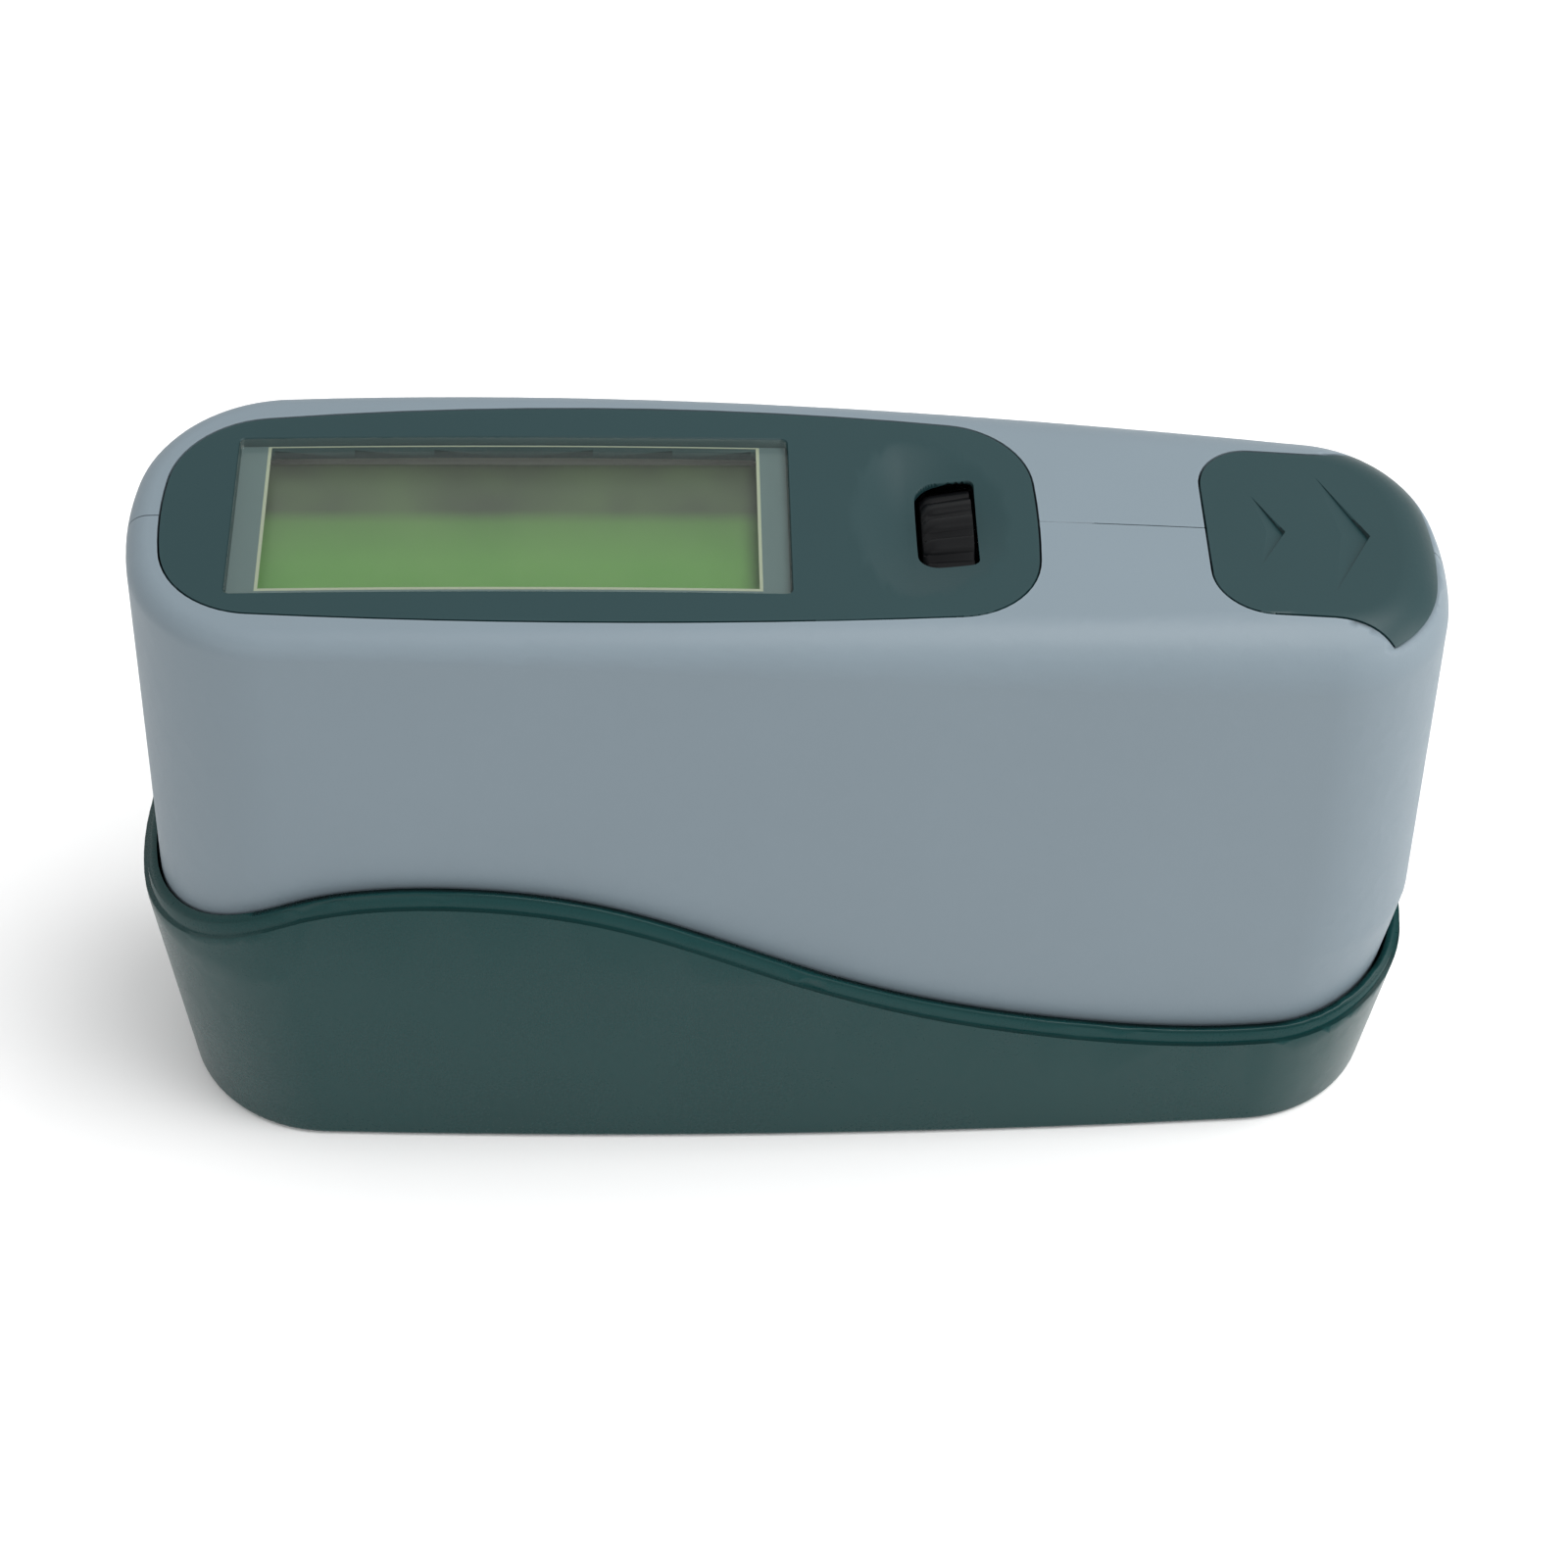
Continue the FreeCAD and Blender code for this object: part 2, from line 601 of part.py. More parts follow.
def display_panel():
    """Inset panel: flush arched plate, flange underneath, window opening, wheel dish and slot."""
    plate = skin(prism(PANEL, TOP_ZONE, ABOVE_ALL), 0.0, PANEL_THICK)
    flange_low = WALL + 0.12 + FLANGE_THICK
    flange = skin(prism(PANEL, TOP_ZONE, ABOVE_ALL, PANEL_FLANGE), WALL + 0.12, FLANGE_THICK)
    neck = skin(prism(PANEL, TOP_ZONE, ABOVE_ALL), PANEL_THICK - 0.2, flange_low - PANEL_THICK + 0.2)
    core = skin(prism(PANEL, TOP_ZONE, ABOVE_ALL, -1.2), PANEL_THICK - 0.5, 3.0)
    rim = fused([neck, flange]).cut(core).common(housing_form(WALL + 0.15))
    panel = fused([plate, rim])
    posts = [rod(POST_R, (x, y, BOARD["high"]), (x, y, ABOVE_ALL)) for x, y in BOARD_POSTS]
    panel = fused([panel] + [post.common(under_arch(1.0)) for post in posts])
    panel = panel.cut([rod(POST_HOLE_R, (x, y, TOP_ZONE), (x, y, POST_HOLE_TOP)) for x, y in BOARD_POSTS])
    seat = rounded_block(WINDOW["x0"] - 0.1, WINDOW["x1"] + 0.1, WINDOW["half"] + 0.1, TOP_ZONE, ABOVE_ALL, 0.6)
    panel = panel.cut(skin(seat, -2.0, WINDOW["sunk"] + WINDOW["thick"] + 2.05))
    panel = panel.cut(rounded_block(VIEW["x0"], VIEW["x1"], VIEW["half"], TOP_ZONE, ABOVE_ALL, 0.5))
    slot = rounded_block(WHEEL_SLOT["x0"], WHEEL_SLOT["x1"], WHEEL_SLOT["half"], TOP_ZONE, ABOVE_ALL,
                         WHEEL_SLOT["corner"], WHEEL_SLOT["left_corner"])
    return panel.cut([scoop(0.0), slot, scoop_pocket()])


def scoop(grow):
    """Teardrop thumb hollow: a soft, ramped profile turned about an axis high above the panel."""
    left = SCOOP["left"] - grow
    right = SCOOP["right"] + grow
    axis_z = arch_z(SCOOP["deepest"]) + SCOOP["axis_height"]
    start = Vec(left, 0, arch_z(left))
    deepest = Vec(SCOOP["deepest"], 0, arch_z(SCOOP["deepest"]) - SCOOP["depth"] - grow)
    end = Vec(right, 0, arch_z(right))
    level = Vec(1, 0, 0)
    floor = Part.BSplineCurve()
    floor.interpolate(Points=[start, deepest, end], Tangents=[level, level, level],
                      TangentFlags=[True, True, True])
    profile = Part.Wire([
        floor.toShape(),
        Part.makeLine(end, Vec(right, 0, axis_z)),
        Part.makeLine(Vec(right, 0, axis_z), Vec(left, 0, axis_z)),
        Part.makeLine(Vec(left, 0, axis_z), start),
    ])
    return Part.Face(profile).revolve(Vec(left, 0, axis_z), Vec(1, 0, 0), 360)


def scoop_pocket():
    """Hollow under the scoop, which leaves an even skin round the wheel's slot."""
    room = rounded_block(WHEEL_SLOT["x0"] - 1.6, WHEEL_SLOT["x1"] + 1.2, WHEEL_SLOT["half"] + 2.0,
                         TOP_ZONE, ABOVE_ALL, 0.8)
    return room.common(under_arch(SCOOP_SKIN)).cut(scoop(SCOOP_SKIN))


def display_window():
    """Clear window that follows the arch."""
    sheet = rounded_block(WINDOW["x0"], WINDOW["x1"], WINDOW["half"], TOP_ZONE, ABOVE_ALL, 0.5)
    return skin(sheet, WINDOW["sunk"], WINDOW["thick"])


def lcd_glass():
    """Two glass plates; the lower one carries the contact ledges along both long sides."""
    middle = (LCD["low"] + LCD["high"]) / 2
    lower = block(LCD["x0"], LCD["x1"], -LCD["half"], LCD["half"], LCD["low"], middle)
    upper = block(LCD["x0"], LCD["x1"], -LCD["half"] + 1.2, LCD["half"] - 1.2, middle, LCD["high"])
    return fused([lower, upper])


def lcd_frame():
    """Moulded frame that holds the glass against the board, with four feet."""
    gap = 0.1
    rim = 0.9
    outer = block(LCD["x0"] - rim, LCD["x1"] + rim, -LCD["half"] - rim, LCD["half"] + rim,
                  BOARD["high"], LCD["high"] - 0.9)
    inner = block(LCD["x0"] - gap, LCD["x1"] + gap, -LCD["half"] - gap, LCD["half"] + gap, 50.0, 70.0)
    return outer.cut(inner)


def lcd_reflector():
    """White diffuser block behind the glass."""
    return rounded_block(LCD["x0"] + 1.0, LCD["x1"] - 1.0, LCD["half"] - 2.6, BOARD["high"], LCD["low"], 0.8)


def contact_strips():
    """Elastomer strips that join the glass to the board."""
    strips = []
    for side in (-1, 1):
        y = side * (LCD["half"] - 1.1)
        strips.append(block(LCD["x0"] + 1.0, LCD["x1"] - 1.0, y - 0.9, y + 0.9, BOARD["high"], LCD["low"]))
    return Part.makeCompound(strips)


def main_board():
    """Circuit board under the display, rounded at the display end."""
    plan = dict(PANEL, left=BOARD["x0"], half=BOARD["half"], left_corner=8.0)
    board = prism(plan, BOARD["low"], BOARD["high"]).common(block(-70, BOARD["x1"], -20, 20, 50, 60))
    return board.cut([rod(1.15, (x, y, 50.0), (x, y, 60.0)) for x, y in BOARD_POSTS])


def board_screws():
    """Pan-head screws from below, through the board into the panel's posts."""
    screws = []
    for x, y in BOARD_POSTS:
        low = BOARD["low"] - SCREW_HEAD
        head = rod(1.9, (x, y, low), (x, y, BOARD["low"]))
        shank = rod(0.88, (x, y, low), (x, y, BOARD["high"] + 4.0))
        screws.append(head.fuse(shank))
    return Part.makeCompound(screws)


def chip(x, y, length, width, thick, legs):
    """Flat chip under the board with a row of legs on both long sides."""
    top = BOARD["low"]
    leg_half = 0.2
    leg_out = 0.9
    body = block(x - length / 2, x + length / 2, y - width / 2, y + width / 2, top - thick, top - 0.15)
    pitch = length / (legs + 1)
    shapes = [body]
    for side in (-1, 1):
        for number in range(1, legs + 1):
            leg_x = x - length / 2 + number * pitch
            inner = y + side * (width / 2 - 0.2)
            outer = y + side * (width / 2 + leg_out)
            shapes.append(block(leg_x - leg_half, leg_x + leg_half, min(inner, outer), max(inner, outer),
                                top - 0.5, top))
    return fused(shapes)


def processor_chip():
    return chip(-26.0, 0.0, 12.0, 9.0, 1.5, 9)


def amplifier_chip():
    return chip(-40.0, 0.0, 5.0, 4.0, 1.4, 4)


def capacitors():
    """Upright can capacitors under the board."""
    return Part.makeCompound([rod(2.5, (x, y, BOARD["low"] - 5.0), (x, y, BOARD["low"]))
                              for x, y in ((-12.0, 5.5), (-12.0, -5.5))])


def quartz_crystal():
    """Flat oval can of the clock crystal."""
    return rounded_block(-35.5, -33.0, 4.2, BOARD["low"] - 3.2, BOARD["low"], 1.2)


def lead_sockets():
    """Plug-in sockets on the board for the lamp, sensor and battery leads."""
    sockets = []
    for x, y in ((-46.0, -5.5), (-3.0, 5.5), (-3.0, -5.5)):
        sockets.append(block(x - 1.6, x + 1.6, y - 2.4, y + 2.4, BOARD["low"] - 4.0, BOARD["low"]))
    return Part.makeCompound(sockets)


# Thumbwheel.

def thumbwheel():
    """Tapered black wheel with grooves along its rim and a bored, recessed hub."""
    low, high = WHEEL_X
    wheel = Part.makeCone(WHEEL_R_LEFT, WHEEL_R_RIGHT, high - low, Vec(low, 0, WHEEL_Z), Vec(1, 0, 0))
    shoulder = [edge for edge in wheel.Edges if edge.Closed and edge.CenterOfMass.x < low + 0.1]
    wheel = wheel.makeChamfer(WHEEL_SHOULDER, shoulder)
    wheel = wheel.cut(rod(HUB_RECESS_R, (low - 1, 0, WHEEL_Z), (low + HUB_RECESS, 0, WHEEL_Z)))
    grooves = []
    for number in range(WHEEL_GROOVES):
        groove = rod(GROOVE_R, (low - 1, 0, WHEEL_Z + groove_centre(low - 1)),
                     (high + 1, 0, WHEEL_Z + groove_centre(high + 1)))
        groove.rotate(Vec(low, 0, WHEEL_Z), Vec(1, 0, 0), 360.0 * number / WHEEL_GROOVES)
        grooves.append(groove)
    wheel = wheel.cut(grooves)
    return wheel.cut(rod(SHAFT_R, (low - 1, 0, WHEEL_Z), (high + 1, 0, WHEEL_Z)))


def groove_centre(x):
    """Distance of a groove's middle from the wheel's axis, which follows the tapered rim."""
    low, high = WHEEL_X
    return WHEEL_R_LEFT + (WHEEL_R_RIGHT - WHEEL_R_LEFT) * (x - low) / (high - low) + 0.1


def wheel_shaft():
    """Shaft of the potentiometer, pressed into the wheel."""
    return rod(SHAFT_R, (WHEEL_X[0] + HUB_RECESS, 0, WHEEL_Z), (POT_X[1] - 0.4, 0, WHEEL_Z))


def wheel_screw():
    """Slotted screw that holds the wheel on its shaft."""
    near = WHEEL_X[0] + 0.1
    head = rod(2.6, (near, 0, WHEEL_Z), (WHEEL_X[0] + HUB_RECESS, 0, WHEEL_Z))
    return head.cut(block(near - 1, near + 0.5, -3, 3, WHEEL_Z - 0.3, WHEEL_Z + 0.3))


def wheel_potentiometer():
    """Round potentiometer with an end switch, its shaft running in its middle, and three tabs."""
    near, far = POT_X
    body = rod(POT_R, (near, 0, WHEEL_Z), (far, 0, WHEEL_Z))
    body = body.makeChamfer(0.4, [edge for edge in body.Edges if edge.Closed])
    tab_low = WHEEL_Z - POT_R - 3.0
    tabs = [block(far - 1.0, far, y - 0.7, y + 0.7, tab_low, WHEEL_Z - 5.0) for y in (-4.0, 0.0, 4.0)]
    body = fused([body] + tabs)
    return body.cut(rod(SHAFT_R + RUNNING_FIT, (near - 1, 0, WHEEL_Z), (far + 1, 0, WHEEL_Z)))


def wheel_board():
    """Upright board that carries the potentiometer."""
    near = POT_X[1]
    half = WHEEL_BOARD["half"]
    board = block(near, near + WHEEL_BOARD["thick"], -half, half, WHEEL_BOARD["low"], WHEEL_BOARD["high"])
    return board.makeFillet(1.5, [edge for edge in board.Edges if abs(edge.tangentAt(0).x) > 0.9])


# Battery.

def battery_cell():
    """Round cell with its raised positive button."""
    shoulder = CELL_HIGH - CELL_BUTTON
    can = rod(CELL_R, (CELL_X, 0, CELL_LOW), (CELL_X, 0, shoulder))
    can = can.makeChamfer(0.5, [edge for edge in can.Edges if edge.Closed])
    button = rod(2.75, (CELL_X, 0, shoulder - 0.2), (CELL_X, 0, CELL_HIGH))
    return fused([can, button])


def battery_sleeve():
    """Moulded tube round the cell with a deck under the door and a slot down its left side."""
    tube = rod(SLEEVE_R, (CELL_X, 0, BASE_TOP), (CELL_X, 0, DECK["low"] + 1.0))
    deck = rounded_block(DECK["x0"], DECK["x1"], DECK["half"], DECK["low"], DECK["high"], DECK["corner"])
    sleeve = fused([tube, deck])
    sleeve = sleeve.cut(rod(CELL_R + 0.2, (CELL_X, 0, BASE_TOP - 1), (CELL_X, 0, DECK["high"] + 1)))
    slot = block(CELL_X - 10.0, CELL_X - 4.0, -2.5, 2.5, BASE_TOP - 1, DECK["low"] - 5.0)
    return sleeve.cut(slot).common(housing_form(WALL + 0.15))


def lower_contact():
    """Plate under the cell with a raised spring leaf and its solder tab."""
    low = BASE_TOP + 0.1
    plate = block(CELL_X - 8.6, CELL_X + 5.0, -1.2, 1.2, low, low + 0.25)
    leaf = bowed_leaf(4.5, 0.25, low, CELL_LOW - 0.35, -2.2, 2.2)
    return fused([plate, leaf])


def bowed_leaf(span, thick, end_z, bow_z, y0, y1):
    """Thin leaf curved along X, its ends at one height and its middle at another."""
    rise = Vec(0, 0, thick)
    left = Vec(CELL_X - span, y0, end_z)
    right = Vec(CELL_X + span, y0, end_z)
    middle = Vec(CELL_X, y0, bow_z)
    wire = Part.Wire([
        Part.Arc(left, middle, right).toShape(),
        Part.makeLine(right, right + rise),
        Part.Arc(right + rise, middle + rise, left + rise).toShape(),
        Part.makeLine(left + rise, left),
    ])
    return Part.Face(wire).extrude(Vec(0, y1 - y0, 0))


def upper_contact():
    """Leaf on the deck that picks up the door's contact."""
    return bowed_leaf(3.0, 0.25, DECK["high"], DECK["high"] + 0.6, -9.5, -8.0)


def battery_door():
    """Door that carries on the housing's arch and rounded end, with sunk chevrons and two rails."""
    layer = housing_form(0.0).cut(housing_form(DOOR_SKIN))
    door = layer.common(door_zone(0.0))
    for mark in CHEVRONS:
        door = door.cut(chevron_arms(**mark))
    half = DOOR_RAIL["thick"] / 2
    for y in (-DOOR_RAIL["y"], DOOR_RAIL["y"]):
        rail = block(DOOR_RAIL["x0"], DOOR_RAIL["x1"], y - half, y + half, DOOR_CLEAR_Z, ABOVE_ALL)
        door = door.fuse(rail.common(under_arch(DOOR_SKIN - 0.4)))
    return door.removeSplitter()


def chevron_arms(tip, reach, back, length):
    """Cutters for a sunk arrow mark: each arm's floor falls from its inner edge to the outer point."""
    arms = []
    for side in (-1, 1):
        inner = Vec(tip - back, 0, arch_z(tip - back))
        outer = Vec(tip, 0, arch_z(tip) - CHEVRON_DEPTH)
        end = Vec(tip - length, side * reach, arch_z(tip - length))
        floor = Part.Face(Part.makePolygon([inner, outer, end, inner]))
        arms.append(floor.extrude(Vec(0, 0, 3.0)))
    return arms


def door_contact():
    """Thin leaf under the door over the cell's button, with an arm to the deck's contact."""
    leaf = bowed_leaf(3.0, 0.2, DOOR_CLEAR_Z, DOOR_CLEAR_Z - 0.1, -2.0, 2.0)
    arm = block(CELL_X - 1.0, CELL_X + 1.0, -7.6, -1.9, DOOR_CLEAR_Z - 0.1, DOOR_CLEAR_Z + 0.1)
    return fused([leaf, arm])


# Leads.

def battery_lead_negative():
    """From the lower contact's tab up beside the sleeve and along to its socket."""
    return lead([(35.9, 0.0, 8.95), (35.3, -4.0, 10.5), (36.0, -9.2, 16.0), (36.0, -9.4, 46.0),
                 (24.0, -10.4, 46.0), (8.0, -10.4, 46.0), (-3.0, -4.4, 43.0), (-3.0, -4.4, 50.0)],
                LEAD_R, LEAD_BEND)


def battery_lead_positive():
    """From the deck's contact down and along to the same socket."""
    return lead([(38.0, -9.4, 57.0), (37.0, -9.6, 48.0), (24.0, -11.7, 47.0), (8.0, -11.7, 47.0),
                 (-3.0, -6.6, 44.4), (-3.0, -6.6, 50.0)], LEAD_R, LEAD_BEND)


def lamp_lead():
    """From the lamp's board up to its socket."""
    return lead([(-47.4, 0.0, 31.9), (-50.2, -0.6, 33.5), (-50.2, -3.0, 44.0), (-46.0, -5.5, 46.5),
                 (-46.0, -5.5, 50.0)], LEAD_R, 1.0)


def sensor_lead():
    """From the receiver's board over the block and up to its socket."""
    return lead([(29.4, 0.0, 31.9), (31.6, 0.6, 33.2), (30.5, 3.5, 36.8), (6.0, 5.5, 36.8),
                 (-3.0, 5.5, 41.0), (-3.0, 5.5, 50.0)], LEAD_R, 1.2)


PARTS = {
    "holder_cup": holder_cup,
    "tile_pad": tile_pad,
    "calibration_tile": calibration_tile,
    "base_plate": base_plate,
    "base_screws": base_screws,
    "block_screws": block_screws,
    "optical_block": optical_block,
    "source_lens": lambda: lens(-1),
    "receiver_lens": lambda: lens(1),
    "lens_rings": lens_rings,
    "field_stops": field_stops,
    "lamp": lamp,
    "lamp_board": lambda: end_board(-1),
    "photodiode": photodiode,
    "sensor_board": lambda: end_board(1),
    "end_board_screws": end_board_screws,
    "display_panel": display_panel,
    "display_window": display_window,
    "lcd_glass": lcd_glass,
    "lcd_frame": lcd_frame,
    "lcd_reflector": lcd_reflector,
    "contact_strips": contact_strips,
    "main_board": main_board,
    "board_screws": board_screws,
    "processor_chip": processor_chip,
    "amplifier_chip": amplifier_chip,
    "capacitors": capacitors,
    "quartz_crystal": quartz_crystal,
    "lead_sockets": lead_sockets,
    "thumbwheel": thumbwheel,
    "wheel_shaft": wheel_shaft,
    "wheel_screw": wheel_screw,
    "wheel_potentiometer": wheel_potentiometer,
    "wheel_board": wheel_board,
    "battery_cell": battery_cell,
    "battery_sleeve": battery_sleeve,
    "lower_contact": lower_contact,
    "battery_door": battery_door,
    "door_contact": door_contact,
    "upper_contact": upper_contact,
    "battery_lead_negative": battery_lead_negative,
    "battery_lead_positive": battery_lead_positive,
    "lamp_lead": lamp_lead,
    "sensor_lead": sensor_lead,
}


def main():
    os.makedirs("parts", exist_ok=True)
    shapes = {name: make() for name, make in PARTS.items()}
    shell = housing_shell()
    shapes["front_shell"] = shell_half(shell, -1)
    shapes["rear_shell"] = shell_half(shell, 1)
    for name, shape in shapes.items():
        shape.exportStep("parts/" + name + ".step")
    return shapes


if __name__ == "__main__":
    main()
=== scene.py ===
import json
import math
import bpy
import bmesh
from mathutils import Matrix, Vector


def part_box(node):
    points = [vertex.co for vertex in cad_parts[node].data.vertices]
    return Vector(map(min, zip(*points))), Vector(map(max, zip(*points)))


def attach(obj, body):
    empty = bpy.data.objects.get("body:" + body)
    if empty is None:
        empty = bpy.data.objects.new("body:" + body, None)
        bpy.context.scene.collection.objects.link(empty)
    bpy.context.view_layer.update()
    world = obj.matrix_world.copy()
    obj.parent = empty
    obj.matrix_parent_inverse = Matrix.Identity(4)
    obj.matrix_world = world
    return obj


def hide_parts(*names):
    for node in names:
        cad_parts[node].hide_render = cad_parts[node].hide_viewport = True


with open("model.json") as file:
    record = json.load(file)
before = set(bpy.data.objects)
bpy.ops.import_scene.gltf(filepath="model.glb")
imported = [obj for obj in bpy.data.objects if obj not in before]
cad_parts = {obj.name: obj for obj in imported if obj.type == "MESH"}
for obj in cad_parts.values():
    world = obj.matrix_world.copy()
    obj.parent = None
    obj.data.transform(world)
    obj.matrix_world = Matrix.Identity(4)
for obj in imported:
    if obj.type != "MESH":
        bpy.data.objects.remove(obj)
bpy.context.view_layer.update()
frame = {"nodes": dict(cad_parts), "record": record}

mm = 0.001
nodes = frame["nodes"]
bodyOf = {name: body for body, names in frame["record"]["behaviour"]["bodies"].items() for name in names}
slotOf = {part["node"]: part["material_slot"] for part in frame["record"]["subparts"]}


# shader maths: a socket that can be added, multiplied and so on
class Sock:
    def __init__(self, tree, link):
        self.tree = tree
        self.link = link

    def maths(self, operation, *values):
        made = self.tree.nodes.new("ShaderNodeMath")
        made.operation = operation
        for spot, value in enumerate(values):
            if isinstance(value, Sock):
                self.tree.links.new(value.link, made.inputs[spot])
            else:
                made.inputs[spot].default_value = value
        return Sock(self.tree, made.outputs[0])

    def __add__(self, other):
        return self.maths("ADD", self, other)

    def __radd__(self, other):
        return self.maths("ADD", other, self)

    def __sub__(self, other):
        return self.maths("SUBTRACT", self, other)

    def __rsub__(self, other):
        return self.maths("SUBTRACT", other, self)

    def __mul__(self, other):
        return self.maths("MULTIPLY", self, other)

    def __rmul__(self, other):
        return self.maths("MULTIPLY", other, self)

    def __truediv__(self, other):
        return self.maths("DIVIDE", self, other)

    def __pow__(self, other):
        return self.maths("POWER", self, other)

    def above(self, edge, soft):  # 0 below the edge, 1 above it, over a soft width
        return self.maths("MINIMUM", self.maths("MAXIMUM", (self - (edge - soft / 2)) / soft, 0.0), 1.0)


# a material's node tree, with one method for every node that isn't plain maths
class Finish:
    def __init__(self, name):
        self.material = bpy.data.materials.new(name)
        self.material.use_nodes = True
        self.tree = self.material.node_tree
        self.shader = self.tree.nodes["Principled BSDF"]
        self.output = self.tree.nodes["Material Output"]

    def add(self, kind, settings=None, out=0, **inputs):
        made = self.tree.nodes.new(kind)
        for key, value in (settings or {}).items():
            if key == "stops":
                for extra in range(len(value) - 2):
                    made.color_ramp.elements.new(0.5)
                for element, (place, colour) in zip(made.color_ramp.elements, value):
                    element.position = place
                    element.color = colour
            else:
                setattr(made, key, value)
        for key, value in inputs.items():
            self.feed(made, key.replace("_", " "), value)
        return Sock(self.tree, made.outputs[out])

    def feed(self, made, key, value):
        spot = made.inputs[int(key)] if key.isdigit() else made.inputs[key]
        if isinstance(value, Sock):
            self.tree.links.new(value.link, spot)
        else:
            spot.default_value = value

    def set(self, **inputs):
        for key, value in inputs.items():
            self.feed(self.shader, key.replace("_", " "), value)

    def place(self):  # object coordinates, in metres
        return self.add("ShaderNodeTexCoord", out="Object")

    def axis(self, which):
        return self.add("ShaderNodeSeparateXYZ", out=which, Vector=self.place())

    def noise(self, size, detail=2.0, rough=0.5):  # size of the pattern in metres
        return self.add("ShaderNodeTexNoise", Vector=self.place(), Scale=1.0 / size, Detail=detail, Roughness=rough)

    def blend(self, factor, first, second):  # a Mix node's colour sockets go by number
        return self.add("ShaderNodeMix", {"data_type": "RGBA"}, 2, **{"0": factor, "6": first, "7": second})

    def bump(self, height, strength, distance):
        return self.add("ShaderNodeBump", Height=height, Strength=strength, Distance=distance)

    def edges(self, radius):  # 1 on sharp edges, 0 on flat and gently curved faces
        soft = self.add("ShaderNodeBevel", {"samples": 4}, Radius=radius)
        flat = self.add("ShaderNodeNewGeometry", out="Normal")
        alike = self.add("ShaderNodeVectorMath", {"operation": "DOT_PRODUCT"}, "Value", **{"0": soft, "1": flat})
        sharp = (1.0 - alike) * 6.0
        return sharp.maths("MINIMUM", sharp, 1.0)


def rgb(red, green, blue):  # screen values 0..255 to the linear values that shaders take
    def linear(value):
        value = value / 255.0
        return value / 12.92 if value <= 0.04045 else ((value + 0.055) / 1.055) ** 2.4
    return (linear(red), linear(green), linear(blue), 1.0)


# moulded plastic: cloudy colour, fine spark-eroded grain, rubbed edges; grain and depth are in mm
plastics = {
    "housing_plastic": {"colour": (107, 120, 128), "cloud": 0.04, "rough": 0.50, "gloss": 0.35, "grain": 0.26,
                        "depth": 0.01, "rub": 0.12},
    "holder_plastic": {"colour": (8, 50, 50), "cloud": 0.10, "rough": 0.28, "gloss": 0.19, "grain": 0.3,
                       "depth": 0.005, "rub": 0.10},
    "panel_plastic": {"colour": (23, 50, 53), "cloud": 0.06, "rough": 0.42, "gloss": 0.28, "grain": 0.24,
                      "depth": 0.01, "rub": 0.10},
    "wheel_plastic": {"colour": (8, 9, 11), "cloud": 0.15, "rough": 0.42, "gloss": 0.14, "grain": 0.2,
                      "depth": 0.006, "rub": 0.06},
    "black_plastic": {"colour": (20, 21, 22), "cloud": 0.15, "rough": 0.55, "gloss": 0.35, "grain": 0.3,
                      "depth": 0.012, "rub": 0.08},
    "white_plastic": {"colour": (222, 221, 214), "cloud": 0.04, "rough": 0.50, "gloss": 0.5, "grain": 0.3,
                      "depth": 0.006, "rub": 0.04},
    "chip_black": {"colour": (28, 29, 31), "cloud": 0.10, "rough": 0.60, "gloss": 0.4, "grain": 0.12,
                   "depth": 0.008, "rub": 0.05},
    "foam": {"colour": (28, 28, 29), "cloud": 0.30, "rough": 0.90, "gloss": 0.2, "grain": 0.6,
             "depth": 0.06, "rub": 0.0},
    "contact_rubber": {"colour": (196, 120, 132), "cloud": 0.10, "rough": 0.70, "gloss": 0.3, "grain": 0.4,
                       "depth": 0.01, "rub": 0.0},
    "lead_black": {"colour": (22, 22, 23), "cloud": 0.10, "rough": 0.45, "gloss": 0.5, "grain": 0.6,
                   "depth": 0.01, "rub": 0.0},
    "lead_red": {"colour": (150, 28, 22), "cloud": 0.10, "rough": 0.45, "gloss": 0.5, "grain": 0.6,
                 "depth": 0.01, "rub": 0.0},
    "cell_wrap": {"colour": (40, 44, 50), "cloud": 0.06, "rough": 0.28, "gloss": 0.5, "grain": 1,
                  "depth": 0.01, "rub": 0.0},
    "windowMask": {"colour": (80, 94, 98), "cloud": 0.05, "rough": 0.55, "gloss": 0.3, "grain": 0.3,
                   "depth": 0.004, "rub": 0.0},
    # painted highlight: a pale cream colour standing in for light on the window's inner edges
    "windowEdgeHighlight": {"colour": (150, 150, 134), "cloud": 0.06, "rough": 0.6, "gloss": 0.3, "grain": 0.3,
                     "depth": 0.004, "rub": 0.0},
}


def shade(colour, times, plus=0.0):  # a colour made lighter or darker
    return tuple(min(1.0, part * times + plus) for part in colour[:3]) + (1.0,)


wear = {"cloudSize": 18 * mm, "edgeWidth": 0.5 * mm, "patchSize": 4 * mm, "worn": 1.5, "wornPlus": 0.02}


